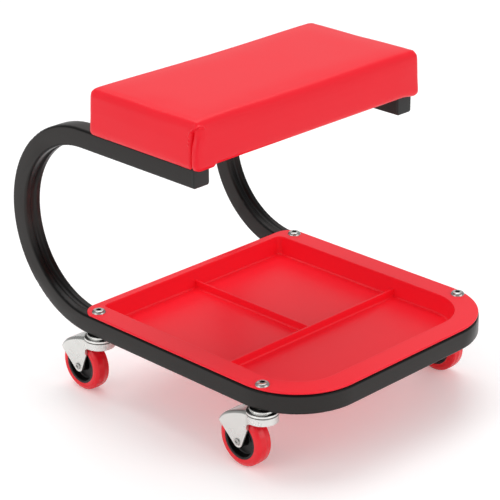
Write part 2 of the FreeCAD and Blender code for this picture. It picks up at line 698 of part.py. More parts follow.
def kingpin():
    """Hollow rivet that holds the races together; the caster's bolt passes through it."""
    tube = collar(KINGPIN_RADIUS, KINGPIN_BORE, NUT_TOP, CASTER_HEIGHT)
    head = collar(KINGPIN_FLANGE_RADIUS, KINGPIN_BORE, CASTER_HEIGHT - KINGPIN_FLANGE, CASTER_HEIGHT)
    foot = collar(KINGPIN_FLANGE_RADIUS, KINGPIN_BORE, NUT_TOP, LOWER_RACE_BOTTOM)
    return tube.multiFuse([head, foot]).removeSplitter()


def lower_race():
    washer = collar(LOWER_RACE_RADIUS, KINGPIN_RADIUS + KINGPIN_SEAT_GAP, LOWER_RACE_BOTTOM, LOWER_RACE_TOP)
    groove = Part.makeTorus(LOWER_BALL_PITCH_RADIUS, LOWER_BALL_RADIUS + GROOVE_GAP, Z_AXIS * LOWER_BALL_Z)
    return washer.cut(groove)


def ball_ring(ball_radius, pitch_radius, height):
    balls = []
    for step in range(BALL_COUNT):
        angle = math.radians(FULL_TURN * step / BALL_COUNT)
        centre = Vector(pitch_radius * math.cos(angle), pitch_radius * math.sin(angle), height)
        balls.append(Part.makeSphere(ball_radius, centre))
    return group(balls)


def tangent_on_tip(point, side):
    """Where the straight edge from a point touches the round tip of the leg."""
    centre = Vector(0, TRAIL, AXLE_Z)
    toward = point - centre
    spread = math.acos(LEG_TIP_RADIUS / toward.Length) * side
    direction = FreeCAD.Rotation(X_AXIS, math.degrees(spread)).multVec(toward.normalize())
    return centre + direction * LEG_TIP_RADIUS


def on_hood(radius, angle):
    """Point at an angle above the rearward level, at a radius about the axle."""
    turn = math.radians(angle)
    return Vector(0, TRAIL + radius * math.cos(turn), AXLE_Z + radius * math.sin(turn))


def hood_edges(sheet):
    """Top of the fork seen from the side: level at the ring, then round over the wheel."""
    radius = WHEEL_RADIUS + WHEEL_TOP_GAP + FORK_SHEET - sheet
    front = Vector(0, LEG_FRONT, RING_TOP - sheet)
    flat_end = Vector(0, RING_RADIUS - RING_WALL, RING_TOP - sheet)
    top = on_hood(radius, HOOD_TOP_ANGLE)
    back = on_hood(radius, HOOD_BACK_ANGLE)
    chord = top - flat_end
    swell = Vector(0, -chord.z, chord.y).normalize() * HOOD_SWELL
    middle = on_hood(radius, (HOOD_TOP_ANGLE + HOOD_BACK_ANGLE) / 2)
    edges = [
        Part.LineSegment(front, flat_end).toShape(),
        Part.Arc(flat_end, flat_end + chord / 2 + swell, top).toShape(),
        Part.Arc(top, middle, back).toShape(),
    ]
    return edges, front, back


def fork_block():
    """Outer block of the hood and legs, before it is hollowed for the wheel."""
    edges, front, back = hood_edges(0)
    tip = Vector(0, TRAIL, AXLE_Z - LEG_TIP_RADIUS)
    back_touch = tangent_on_tip(back, -1)
    leg_corner = Vector(0, LEG_FRONT, RING_BOTTOM - WEB_ROUND)
    front_touch = tangent_on_tip(leg_corner, 1)
    edges += [
        Part.LineSegment(back, back_touch).toShape(),
        Part.Arc(back_touch, tip, front_touch).toShape(),
        Part.LineSegment(front_touch, leg_corner).toShape(),
        Part.LineSegment(leg_corner, front).toShape(),
    ]
    block = Part.Face(Part.Wire(edges)).extrude(X_AXIS * FORK_WIDTH)
    block.translate(X_AXIS * (-FORK_WIDTH / 2))
    return block.makeFillet(FORK_ROUND, hood_side_edges(block, FORK_WIDTH))


def hood_side_edges(block, width):
    """Edges where the hood's top meets the block's two sides."""
    edges = []
    for edge in block.Edges:
        box = edge.BoundBox
        on_side = abs(abs(box.Center.x) - width / 2) < FORK_SHEET / 2 and box.XLength < FORK_SHEET / 2
        straight_leg = box.ZMin < on_hood(WHEEL_RADIUS, HOOD_BACK_ANGLE).z
        upright = box.YLength < FORK_SHEET / 2
        if on_side and not straight_leg and not upright:
            edges.append(edge)
    return edges


def wheel_room():
    """Space between the legs and under the hood, open downwards and to the front."""
    edges, front, back = hood_edges(FORK_SHEET)
    floor = AXLE_Z - LEG_TIP_RADIUS - OVERRUN
    behind = Vector(0, TRAIL + WHEEL_DIAMETER, back.z)
    low_behind = Vector(0, behind.y, floor)
    front_top = Vector(0, front.y - OVERRUN, front.z)
    low_front = Vector(0, front_top.y, floor)
    edges += [
        Part.LineSegment(back, behind).toShape(),
        Part.LineSegment(behind, low_behind).toShape(),
        Part.LineSegment(low_behind, low_front).toShape(),
        Part.LineSegment(low_front, front_top).toShape(),
        Part.LineSegment(front_top, front).toShape(),
    ]
    room = Part.Face(Part.Wire(edges)).extrude(X_AXIS * LEG_GAP)
    return room.translated(X_AXIS * (-LEG_GAP / 2))


def fork_web():
    """The ring's skirt carried down to the legs on both sides, under a concave round."""
    skirt = collar(RING_RADIUS, RING_RADIUS - RING_WALL, RING_BOTTOM - WEB_ROUND, RING_BOTTOM)
    low = RING_BOTTOM - WEB_ROUND
    round_y = LEG_FRONT - WEB_ROUND
    diagonal = WEB_ROUND * math.cos(math.radians(QUARTER_TURN / 2))
    edges = [
        Part.Arc(
            Vector(0, LEG_FRONT, low),
            Vector(0, round_y + diagonal, low + diagonal),
            Vector(0, round_y, RING_BOTTOM),
        ).toShape(),
        Part.LineSegment(Vector(0, round_y, RING_BOTTOM), Vector(0, RING_RADIUS, RING_BOTTOM)).toShape(),
        Part.LineSegment(Vector(0, RING_RADIUS, RING_BOTTOM), Vector(0, RING_RADIUS, low)).toShape(),
        Part.LineSegment(Vector(0, RING_RADIUS, low), Vector(0, LEG_FRONT, low)).toShape(),
    ]
    region = Part.Face(Part.Wire(edges)).extrude(X_AXIS * (2 * RING_RADIUS))
    return skirt.common(region.translated(X_AXIS * -RING_RADIUS))


def fork():
    """Pressed fork: raceway ring, hood and two legs that taper to the axle."""
    hole = KINGPIN_RADIUS + FORK_HOLE_GAP
    inner = RING_RADIUS - RING_WALL
    ring = turned([
        (hole, TABLE_TOP, 0),
        (TABLE_RADIUS, TABLE_TOP, RACE_ROUND),
        (TABLE_RADIUS, RING_TOP, 0),
        (RING_RADIUS, RING_TOP, RACE_ROUND),
        (RING_RADIUS, RING_BOTTOM, 0),
        (inner, RING_BOTTOM, 0),
        (inner, TABLE_BOTTOM, 0),
        (hole, TABLE_BOTTOM, 0),
    ])
    groove = Part.makeTorus(UPPER_BALL_PITCH_RADIUS, UPPER_BALL_RADIUS + GROOVE_GAP, Z_AXIS * UPPER_BALL_Z)
    legs = fork_block().fuse(fork_web()).cut(wheel_room())
    legs = legs.cut(rod(RING_RADIUS - RING_WALL / 2, RING_BOTTOM, RING_TOP + OVERRUN))
    body = legs.fuse(ring.cut(groove)).removeSplitter()
    axle_hole = Part.makeCylinder(
        AXLE_RADIUS + AXLE_HOLE_GAP,
        FORK_WIDTH + 2 * OVERRUN,
        Vector(-FORK_WIDTH / 2 - OVERRUN, TRAIL, AXLE_Z),
        X_AXIS,
    )
    return body.cut(axle_hole)


def turned_about_axle(corners):
    """Solid turned about the axle from an outline of (x, radius, round)."""
    face = Part.Face(rounded_wire(corners, across))
    solid = face.revolve(ORIGIN, X_AXIS, FULL_TURN)
    return solid.translated(Vector(0, TRAIL, AXLE_Z))


def axle():
    """Rivet through both legs and the bush, with a dimple in each head."""
    half = FORK_WIDTH / 2
    end = half + AXLE_HEAD
    outline = [
        (-end, AXLE_DIMPLE_RADIUS, 0),
        (-end, AXLE_HEAD_RADIUS, AXLE_HEAD / 2),
        (-half, AXLE_HEAD_RADIUS, 0),
        (-half, AXLE_RADIUS, 0),
        (half, AXLE_RADIUS, 0),
        (half, AXLE_HEAD_RADIUS, 0),
        (end, AXLE_HEAD_RADIUS, AXLE_HEAD / 2),
        (end, AXLE_DIMPLE_RADIUS, 0),
        (end - AXLE_DIMPLE, AXLE_DIMPLE_RADIUS, 0),
        (end - AXLE_DIMPLE, 0, 0),
        (AXLE_DIMPLE - end, 0, 0),
        (AXLE_DIMPLE - end, AXLE_DIMPLE_RADIUS, 0),
    ]
    return turned_about_axle(outline)


def bush():
    """Steel sleeve clamped between the legs, on which the wheel turns."""
    half = LEG_GAP / 2 - BUSH_END_GAP
    return turned_about_axle(rectangle(half, AXLE_RADIUS + AXLE_HOLE_GAP, BUSH_RADIUS, 0, 0))


def hub():
    """Plastic wheel centre: boss, thin web and rim, keyed into the tyre."""
    boss = LEG_GAP / 2 - HUB_BOSS_END_GAP
    bore = BUSH_RADIUS + AXLE_HOLE_GAP
    rim = HUB_WIDTH / 2
    web = HUB_WEB / 2
    rim_bore = HUB_RADIUS - HUB_RIM_WALL
    key = HUB_KEY_WIDTH / 2
    half = [
        (boss, bore, 0),
        (boss, HUB_BOSS_RADIUS, HUB_ROUND),
        (web, HUB_BOSS_RADIUS, HUB_ROUND),
        (web, rim_bore, HUB_ROUND),
        (rim, rim_bore, HUB_ROUND),
        (rim, HUB_RADIUS, 0),
        (key, HUB_RADIUS, 0),
        (key, HUB_RADIUS + HUB_KEY, 0),
    ]
    other_half = [(-x, radius, rounding) for x, radius, rounding in reversed(half)]
    return turned_about_axle(half + other_half)


def tyre():
    """Tread moulded round the hub's key, with round shoulders."""
    half_width = WHEEL_WIDTH / 2
    key = HUB_KEY_WIDTH / 2
    half = [
        (key, HUB_RADIUS + HUB_KEY, 0),
        (key, HUB_RADIUS, 0),
        (half_width, HUB_RADIUS, 0),
        (half_width, WHEEL_RADIUS, TYRE_SHOULDER),
    ]
    other_half = [(-x, radius, rounding) for x, radius, rounding in reversed(half)]
    return turned_about_axle(half + other_half)


def at_each_caster(shape):
    """A copy of a shape made about the swivel axis at every caster, as one node."""
    return group([shape.translated(Vector(x, y, 0)) for x, y in CASTERS.values()])


def build_nodes():
    staples = group([staple(x, y, lengthwise) for x, y, lengthwise in staple_places()])
    inside = cushion(COVER)
    nodes = {
        "frame_tube": frame_tube(),
        "left_arm_cap": arm_cap(-1),
        "right_arm_cap": arm_cap(1),
        "tool_tray": tool_tray(),
        "seat_board": seat_board(staples),
        "seat_foam": seat_foam(inside),
        "seat_cover": seat_cover(inside, staples),
        "cover_staples": staples,
        "seat_bolts": group([seat_bolt(x, y) for x, y in SEAT_BOLTS]),
        "seat_washers": group([seat_washer(x, y) for x, y in SEAT_BOLTS]),
        "seat_tee_nuts": group([tee_nut(x, y) for x, y in SEAT_BOLTS]),
        "caster_bolts": at_each_caster(caster_bolt()),
        "caster_nuts": at_each_caster(caster_nut()),
    }
    caster_pieces = {
        "raceway_cap": raceway_cap(),
        "kingpin": kingpin(),
        "lower_race": lower_race(),
        "lower_balls": ball_ring(LOWER_BALL_RADIUS, LOWER_BALL_PITCH_RADIUS, LOWER_BALL_Z),
        "upper_balls": ball_ring(UPPER_BALL_RADIUS, UPPER_BALL_PITCH_RADIUS, UPPER_BALL_Z),
        "fork": fork(),
        "axle": axle(),
        "bush": bush(),
        "hub": hub(),
        "tyre": tyre(),
    }
    for place, (x, y) in CASTERS.items():
        for piece, shape in caster_pieces.items():
            nodes[f"{place}_{piece}"] = shape.translated(Vector(x, y, 0))
    return nodes


for name, node in build_nodes().items():
    node.exportStep(f"parts/{name}.step")
    state = "valid" if node.isValid() else "NOT VALID"
    print(name, len(node.Solids), "solids", round(node.Volume), "mm3", state)
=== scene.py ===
# %% [markdown]
# # A creeper seat
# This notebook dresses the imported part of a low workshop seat. The construction comes from the
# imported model: every piece already has its real size and place, in metres, with the origin on the
# floor under the middle of the frame. What is added here is the look: the vinyl cushion, the
# moulded tray, the plated casters and the paint.

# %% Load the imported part
import json
import math

import bmesh
import bpy
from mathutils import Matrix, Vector, noise

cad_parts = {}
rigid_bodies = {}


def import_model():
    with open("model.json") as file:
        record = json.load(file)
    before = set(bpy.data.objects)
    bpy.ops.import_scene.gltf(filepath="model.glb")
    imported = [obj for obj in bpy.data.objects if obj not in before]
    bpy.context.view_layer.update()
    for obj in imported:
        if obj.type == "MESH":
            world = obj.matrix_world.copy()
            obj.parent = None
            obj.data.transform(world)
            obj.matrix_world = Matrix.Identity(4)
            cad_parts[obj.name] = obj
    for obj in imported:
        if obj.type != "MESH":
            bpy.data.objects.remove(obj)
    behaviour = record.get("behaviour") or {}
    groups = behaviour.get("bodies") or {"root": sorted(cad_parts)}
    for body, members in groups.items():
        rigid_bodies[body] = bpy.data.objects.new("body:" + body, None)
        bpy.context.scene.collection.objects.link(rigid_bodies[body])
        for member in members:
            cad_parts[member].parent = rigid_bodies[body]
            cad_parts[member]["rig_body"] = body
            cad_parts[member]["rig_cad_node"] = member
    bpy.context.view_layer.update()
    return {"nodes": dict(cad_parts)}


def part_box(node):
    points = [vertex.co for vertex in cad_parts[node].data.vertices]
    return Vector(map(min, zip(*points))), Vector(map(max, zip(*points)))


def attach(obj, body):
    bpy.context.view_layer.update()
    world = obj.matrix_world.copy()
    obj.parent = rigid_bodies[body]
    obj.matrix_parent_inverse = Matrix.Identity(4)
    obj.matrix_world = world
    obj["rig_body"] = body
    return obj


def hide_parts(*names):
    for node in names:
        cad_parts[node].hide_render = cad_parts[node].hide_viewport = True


MM = 0.001


def in_mm(values):
    return [round(value / MM, 1) for value in values]


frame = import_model()

# %% [markdown]
# ## Small helpers
# An operator works on whatever is selected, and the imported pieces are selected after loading. So
# one helper clears the selection and picks a single object, and others pick vertices or edges of
# the mesh in hand by their place. A finished piece then gets its name, its finish and the body that
# it rides on in one call.


# %% Selection and finishing helpers
def only(piece):
    """Selects one object and makes it the active one."""
    bpy.ops.object.select_all(action="DESELECT")
    piece.select_set(True)
    bpy.context.view_layer.objects.active = piece
    return piece


def edit(piece):
    """Enters edit mode with nothing selected, and returns the mesh in hand."""
    only(piece)
    bpy.ops.object.mode_set(mode="EDIT")
    bpy.ops.mesh.select_all(action="DESELECT")
    return bmesh.from_edit_mesh(piece.data)


def leave_edit():
    bpy.ops.object.mode_set(mode="OBJECT")


def pick(piece, kind, test):
    """Selects the vertices, edges or faces that pass a test, in edit mode, and counts them."""
    bpy.ops.mesh.select_all(action="DESELECT")
    modes = {"verts": "VERT", "edges": "EDGE", "faces": "FACE"}
    bpy.ops.mesh.select_mode(type=modes[kind])
    mesh = bmesh.from_edit_mesh(piece.data)
    chosen = 0
    for element in getattr(mesh, kind):
        if test(element):
            element.select_set(True)
            chosen += 1
    mesh.select_flush_mode()
    bmesh.update_edit_mesh(piece.data)
    return chosen


def apply_place(piece):
    """Moves the object's place, turn and scale into its mesh, so that it sits at the origin."""
    only(piece)
    bpy.ops.object.transform_apply(location=True, rotation=True, scale=True)
    return piece


def apply_modifiers(piece):
    only(piece)
    for modifier in list(piece.modifiers):
        bpy.ops.object.modifier_apply(modifier=modifier.name)
    return piece


def combine(piece, tool, operation):
    """Adds, cuts or intersects a tool shape, and removes the tool."""
    modifier = piece.modifiers.new(operation, "BOOLEAN")
    modifier.operation = operation
    modifier.object = tool
    modifier.solver = "EXACT"
    apply_modifiers(piece)
    bpy.data.objects.remove(tool)
    return piece


def smooth(piece, degrees):
    """Shades smoothly across edges that turn less than an angle."""
    only(piece)
    bpy.ops.object.shade_smooth_by_angle(angle=math.radians(degrees))
    return piece


def finish(piece, name, material, slot, body, *nodes):
    """Names a finished piece, gives it its finish, and puts it on its body in place of its nodes."""
    piece.name = name
    piece.data.name = name
    piece.data.materials.clear()
    piece.data.materials.append(material)
    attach(piece, body)
    if nodes:
        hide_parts(*nodes)
    print(name, len(piece.data.polygons), "faces")
    return piece


# %% [markdown]
# ## Colour and surface groups
# Colours are written as the display values that the eye compares, and turned into linear light
# here. The finishes share three shader node groups. One gives a fine grain: two sizes of noise,
# mixed into one height that a Bump node turns into dimples. The second lets a colour drift slowly
# over a piece, because no moulded or painted surface is the same red all over. The third is painted
# shade: it darkens faces that are tilted between upright and level.


# %% Shared shader groups
def display(red, green, blue):
    """Linear colour of a display colour."""
    def linear(value):
        return value / 12.92 if value <= 0.04045 else ((value + 0.055) / 1.055) ** 2.4
    return (linear(red), linear(green), linear(blue), 1.0)


def new_group(name, inputs, outputs):
    """Node group with named float or colour sockets; returns it with its input and output nodes."""
    group = bpy.data.node_groups.new(name, "ShaderNodeTree")
    for label, kind, value in inputs:
        socket = group.interface.new_socket(name=label, in_out="INPUT", socket_type=kind)
        socket.default_value = value
    for label, kind in outputs:
        group.interface.new_socket(name=label, in_out="OUTPUT", socket_type=kind)
    return group, group.nodes.new("NodeGroupInput"), group.nodes.new("NodeGroupOutput")


def noise_at(group, coordinates, scale, detail):
    texture = group.nodes.new("ShaderNodeTexNoise")
    texture.inputs["Detail"].default_value = detail
    group.links.new(coordinates, texture.inputs["Vector"])
    group.links.new(scale, texture.inputs["Scale"])
    return texture.outputs["Fac"]


def grain_group():
    """Height of a fine grain on Object coordinates: broad dimples with finer ones on them."""
    group, given, result = new_group(
        "fine grain",
        [("Broad Scale", "NodeSocketFloat", 400.0), ("Fine Scale", "NodeSocketFloat", 1600.0),
         ("Fine Share", "NodeSocketFloat", 0.35)],
        [("Height", "NodeSocketFloat")],
    )
    place = group.nodes.new("ShaderNodeTexCoord").outputs["Object"]
    broad = noise_at(group, place, given.outputs["Broad Scale"], 1.0)
    fine = noise_at(group, place, given.outputs["Fine Scale"], 2.0)
    mix = group.nodes.new("ShaderNodeMix")
    group.links.new(given.outputs["Fine Share"], mix.inputs["Factor"])
    group.links.new(broad, mix.inputs["A"])
    group.links.new(fine, mix.inputs["B"])
    group.links.new(mix.outputs["Result"], result.inputs["Height"])
    return group


def drift_group():
    """A colour that drifts a little darker and lighter over the piece, and a mask of the drift."""
    group, given, result = new_group(
        "colour drift",
        [("Color", "NodeSocketColor", (0.5, 0.5, 0.5, 1.0)), ("Scale", "NodeSocketFloat", 12.0),
         ("Amount", "NodeSocketFloat", 0.06)],
        [("Color", "NodeSocketColor"), ("Mask", "NodeSocketFloat")],
    )
    place = group.nodes.new("ShaderNodeTexCoord").outputs["Object"]
    mask = noise_at(group, place, given.outputs["Scale"], 3.0)
    centred = group.nodes.new("ShaderNodeMath")
    centred.operation = "MULTIPLY_ADD"
    group.links.new(mask, centred.inputs[0])
    doubled = group.nodes.new("ShaderNodeMath")
    doubled.operation = "MULTIPLY"
    doubled.inputs[1].default_value = 2.0
    group.links.new(given.outputs["Amount"], doubled.inputs[0])
    group.links.new(doubled.outputs[0], centred.inputs[1])
    rest = group.nodes.new("ShaderNodeMath")
    rest.operation = "SUBTRACT"
    rest.inputs[0].default_value = 1.0
    group.links.new(given.outputs["Amount"], rest.inputs[1])
    group.links.new(rest.outputs[0], centred.inputs[2])
    scaled = group.nodes.new("ShaderNodeVectorMath")
    scaled.operation = "SCALE"
    group.links.new(given.outputs["Color"], scaled.inputs[0])
    group.links.new(centred.outputs[0], scaled.inputs["Scale"])
    group.links.new(scaled.outputs[0], result.inputs["Color"])
    group.links.new(mask, result.inputs["Mask"])
    return group


# Painted shade: the share of colour kept at each tilt, from upright faces (0) to level ones (1).
PAINTED_SHADE_STOPS = ((0.0, 1.0), (0.18, 1.0), (0.42, 0.12), (0.86, 0.12), (0.97, 0.8))


def painted_tilt_shade_group():
    """Painted shade: darkens a colour where the surface is tilted between upright and level."""
    group, given, result = new_group(
        "painted tilt shade",
        [("Color", "NodeSocketColor", (0.5, 0.5, 0.5, 1.0)), ("Strength", "NodeSocketFloat", 1.0)],
        [("Color", "NodeSocketColor")],
    )
    facing = group.nodes.new("ShaderNodeSeparateXYZ")
    group.links.new(group.nodes.new("ShaderNodeNewGeometry").outputs["Normal"], facing.inputs[0])
    tilt = group.nodes.new("ShaderNodeMath")
    tilt.operation = "ABSOLUTE"
    group.links.new(facing.outputs["Z"], tilt.inputs[0])
    ramp = group.nodes.new("ShaderNodeValToRGB")
    stops = ramp.color_ramp.elements
    while len(stops) < len(PAINTED_SHADE_STOPS):
        stops.new(0.5)
    for stop, (place, grey) in zip(stops, PAINTED_SHADE_STOPS):
        stop.position = place
        stop.color = (grey, grey, grey, 1.0)
    group.links.new(tilt.outputs[0], ramp.inputs["Fac"])
    mask = group.nodes.new("ShaderNodeMapRange")
    group.links.new(given.outputs["Strength"], mask.inputs["Value"])
    mask.inputs["To Min"].default_value = 1.0
    group.links.new(ramp.outputs["Color"], mask.inputs["To Max"])
    scaled = group.nodes.new("ShaderNodeVectorMath")
    scaled.operation = "SCALE"
    group.links.new(given.outputs["Color"], scaled.inputs[0])
    group.links.new(mask.outputs["Result"], scaled.inputs["Scale"])
    group.links.new(scaled.outputs[0], result.inputs["Color"])
    return group


GRAIN = grain_group()
DRIFT = drift_group()
PAINTED_TILT_SHADE = painted_tilt_shade_group()


# %% [markdown]
# ## Finishes
# Each finish is one function that fills a Principled shader. They differ in colour, gloss, and the
# size and depth of their grain: powder coat has a soft orange peel about two millimetres across,
# vinyl has a tight leather-like print, a moulding has a faint spark-eroded texture, and zinc plate
# keeps the fine lines of the rolled sheet. The studio is bright at eye level and straight above,
# and dark between, so glossy paint and plate look darker on their rounded edges, where they are
# tilted. This is painted shade: a mask of the tilt darkens their colour there.


# %% Material functions
def new_material(name, specular=0.5):
    """Material with a Principled shader, and how strongly its surface mirrors white light."""
    material = bpy.data.materials.new(name)
    material.use_nodes = True
    shader = material.node_tree.nodes["Principled BSDF"]
    shader.inputs["Specular IOR Level"].default_value = specular
    return material, material.node_tree, shader


def add_drift(tree, shader, colour, scale, amount, rough, rough_spread):
    """Drifting colour, with a roughness that follows the same mask."""
    drift = tree.nodes.new("ShaderNodeGroup")
    drift.node_tree = DRIFT
    drift.inputs["Color"].default_value = colour
    drift.inputs["Scale"].default_value = scale
    drift.inputs["Amount"].default_value = amount
    tree.links.new(drift.outputs["Color"], shader.inputs["Base Color"])
    spread = tree.nodes.new("ShaderNodeMapRange")
    spread.inputs["To Min"].default_value = rough - rough_spread
    spread.inputs["To Max"].default_value = rough + rough_spread
    tree.links.new(drift.outputs["Mask"], spread.inputs["Value"])
    tree.links.new(spread.outputs["Result"], shader.inputs["Roughness"])


def add_grain(tree, shader, broad, fine, share, depth):
    """Grain bump: broad and fine are dimples per metre, depth is in metres."""
    grain = tree.nodes.new("ShaderNodeGroup")
    grain.node_tree = GRAIN
    grain.inputs["Broad Scale"].default_value = broad
    grain.inputs["Fine Scale"].default_value = fine
    grain.inputs["Fine Share"].default_value = share
    bump = tree.nodes.new("ShaderNodeBump")
    bump.inputs["Distance"].default_value = depth
    tree.links.new(grain.outputs["Height"], bump.inputs["Height"])
    tree.links.new(bump.outputs["Normal"], shader.inputs["Normal"])


def paint_tilt_shade(tree, shader, share):
    """Paints shade into the colour of faces that are tilted, by a share."""
    shade = tree.nodes.new("ShaderNodeGroup")
    shade.node_tree = PAINTED_TILT_SHADE
    shade.inputs["Strength"].default_value = share
    tree.links.new(shader.inputs["Base Color"].links[0].from_socket, shade.inputs["Color"])
    tree.links.new(shade.outputs["Color"], shader.inputs["Base Color"])


def painted_tube():
    material, tree, shader = new_material("black powder coat", 0.14)
    add_drift(tree, shader, display(0.19, 0.18, 0.175), 9.0, 0.08, 0.30, 0.04)
    # Painted shade on the tube's tilted faces.
    paint_tilt_shade(tree, shader, 1.0)
    add_grain(tree, shader, 420.0, 1500.0, 0.25, 0.00008)
    return material


def moulded_red():
    material, tree, shader = new_material("red moulded plastic", 0.28)
    add_drift(tree, shader, display(0.99, 0.12, 0.19), 7.0, 0.03, 0.34, 0.04)
    add_grain(tree, shader, 900.0, 2600.0, 0.5, 0.00004)
    return material


def seat_vinyl():
    material, tree, shader = new_material("red seat vinyl", 0.28)
    add_drift(tree, shader, display(0.96, 0.09, 0.165), 8.0, 0.03, 0.34, 0.04)
    add_grain(tree, shader, 700.0, 2200.0, 0.5, 0.00006)
    return material


def black_plastic_and_shade(name, colour, rough):
    material, tree, shader = new_material(name, 0.3)
    add_drift(tree, shader, colour, 20.0, 0.10, rough, 0.05)
    add_grain(tree, shader, 1100.0, 3000.0, 0.5, 0.00005)
    return material


def zinc_plate(name, brightness, rough, metallic=1.0):
    """Bright zinc: metal with a fine grain and slight blotches in its gloss."""
    material, tree, shader = new_material(name)
    shader.inputs["Metallic"].default_value = metallic
    tint = display(brightness, brightness, brightness * 0.985)
    add_drift(tree, shader, tint, 60.0, 0.05, rough, 0.06)
    # Painted shade on the plate's tilted faces.
    paint_tilt_shade(tree, shader, 0.6)
    add_grain(tree, shader, 500.0, 2500.0, 0.4, 0.00001)
    return material


def wheel_tread():
    material, tree, shader = new_material("red urethane tread", 0.4)
    add_drift(tree, shader, display(0.95, 0.08, 0.15), 25.0, 0.04, 0.26, 0.04)
    add_grain(tree, shader, 600.0, 2000.0, 0.5, 0.00004)
    return material


def plywood():
    """Bare plywood: long dark and light figure stretched along the board."""
    material, tree, shader = new_material("bare plywood")
    place = tree.nodes.new("ShaderNodeTexCoord")
    stretch = tree.nodes.new("ShaderNodeMapping")
    stretch.inputs["Scale"].default_value = (6.0, 90.0, 90.0)
    figure = tree.nodes.new("ShaderNodeTexNoise")
    figure.inputs["Scale"].default_value = 1.0
    figure.inputs["Detail"].default_value = 6.0
    figure.inputs["Distortion"].default_value = 0.6
    ramp = tree.nodes.new("ShaderNodeValToRGB")
    ramp.color_ramp.elements[0].position = 0.3
    ramp.color_ramp.elements[0].color = display(0.60, 0.45, 0.30)
    ramp.color_ramp.elements[1].position = 0.7
    ramp.color_ramp.elements[1].color = display(0.80, 0.66, 0.48)
    tree.links.new(place.outputs["Object"], stretch.inputs["Vector"])
    tree.links.new(stretch.outputs["Vector"], figure.inputs["Vector"])
    tree.links.new(figure.outputs["Fac"], ramp.inputs["Fac"])
    tree.links.new(ramp.outputs["Color"], shader.inputs["Base Color"])
    shader.inputs["Roughness"].default_value = 0.75
    return material


POWDER_COAT = painted_tube()
TRAY_RED = moulded_red()
VINYL_RED = seat_vinyl()
TREAD_RED = wheel_tread()
CAP_BLACK = black_plastic_and_shade("black cap plastic", display(0.15, 0.15, 0.15), 0.45)
HUB_BLACK = black_plastic_and_shade("black hub plastic", display(0.06, 0.06, 0.06), 0.28)
# The bolt sockets' near-black colour is painted shade of the recess.
PAINTED_SOCKET_SHADE = black_plastic_and_shade("painted socket shade", display(0.05, 0.06, 0.06), 0.5)
BRIGHT_ZINC = zinc_plate("bright zinc", 0.88, 0.22)
FORK_ZINC = zinc_plate("pressed zinc sheet", 0.87, 0.28, 0.7)
RIVET_ZINC = zinc_plate("dark zinc", 0.70, 0.18)
RACE_CHROME = zinc_plate("polished race", 0.90, 0.12)
DULL_STEEL = zinc_plate("dull steel", 0.70, 0.38)
PLYWOOD = plywood()
print("finishes:", len(bpy.data.materials))

# %% [markdown]
# ## Camera, floor and light
# The photograph looks down on the tray's left front corner from two and a half paces away with a
# long lens, so the camera stands where its fitted position says. The floor is plain and white. A
# wide soft lamp above and two dimmer ones, in front and on the left, give the even, almost
# shadowless light of a catalogue picture. More light would wash out the object, so the floor is
# lifted to white in another way: it glows a little, but only for the camera and for mirror rays,
# and its shadow stays.


# %% Camera
CAMERA_PLACE = Vector((-1.6179, -1.6083, 1.1443))
CAMERA_AIM = Vector((-0.0712, -0.0563, 0.2120))
CAMERA_ROLL_DEGREES = -0.47
LENS_MM = 143.1
SENSOR_MM = 36.0


def place_camera():
    bpy.ops.object.camera_add(location=CAMERA_PLACE)
    camera = bpy.context.object
    camera.data.lens = LENS_MM
    camera.data.sensor_width = SENSOR_MM
    direction = CAMERA_AIM - CAMERA_PLACE
    turn = direction.to_track_quat("-Z", "Y").to_matrix().to_4x4()
    roll = turn.Rotation(math.radians(CAMERA_ROLL_DEGREES), 4, "Z")
    camera.rotation_euler = (turn @ roll).to_euler()
    bpy.context.scene.camera = camera


place_camera()


# %% Floor and lamps
FLOOR_SPAN = 24.0
FLOOR_GLOW = 0.22
WORLD_STRENGTH = 0.58


def seen_rays(tree):
    """One for camera, mirror and see-through rays, zero for the rays that light the object."""
    rays = tree.nodes.new("ShaderNodeLightPath")
    seen = rays.outputs["Is Camera Ray"]
    for label in ("Is Glossy Ray", "Is Transmission Ray"):
        either = tree.nodes.new("ShaderNodeMath")
        either.operation = "MAXIMUM"
        tree.links.new(seen, either.inputs[0])
        tree.links.new(rays.outputs[label], either.inputs[1])
        seen = either.outputs[0]
    return seen


def floor():
    bpy.ops.mesh.primitive_plane_add(size=FLOOR_SPAN, location=(0, 0, 0))
    ground = bpy.context.object
    ground.name = "floor"
    material, tree, shader = new_material("white floor")
    shader.inputs["Base Color"].default_value = (0.93, 0.93, 0.93, 1.0)
    shader.inputs["Roughness"].default_value = 0.45
    shader.inputs["Emission Color"].default_value = (1.0, 1.0, 1.0, 1.0)
    glow = tree.nodes.new("ShaderNodeMath")
    glow.operation = "MULTIPLY"
    glow.inputs[1].default_value = FLOOR_GLOW
    tree.links.new(seen_rays(tree), glow.inputs[0])
    tree.links.new(glow.outputs[0], shader.inputs["Emission Strength"])
    ground.data.materials.append(material)


def lamp(name, place, aim, size, power):
    bpy.ops.object.light_add(type="AREA", location=place)
    light = bpy.context.object
    light.name = name
    light.data.shape = "RECTANGLE"
    light.data.size, light.data.size_y = size
    light.data.energy = power
    direction = Vector(aim) - Vector(place)
    light.rotation_euler = direction.to_track_quat("-Z", "Y").to_euler()


def studio():
    world = bpy.data.worlds.new("studio")
    bpy.context.scene.world = world
    world.use_nodes = True
    world.node_tree.nodes["Background"].inputs["Strength"].default_value = WORLD_STRENGTH
    world.node_tree.nodes["Background"].inputs["Color"].default_value = (1.0, 1.0, 1.0, 1.0)
    bpy.context.scene.view_settings.view_transform = "Standard"
    centre = (0.0, 0.0, 0.2)
    lamp("overhead", (0.5, 0.9, 3.2), centre, (3.2, 2.4), 48.0)
    lamp("front fill", (0.6, -3.0, 1.4), centre, (2.4, 1.8), 24.0)
    lamp("left fill", (-3.0, 0.4, 1.3), centre, (2.4, 1.8), 20.0)


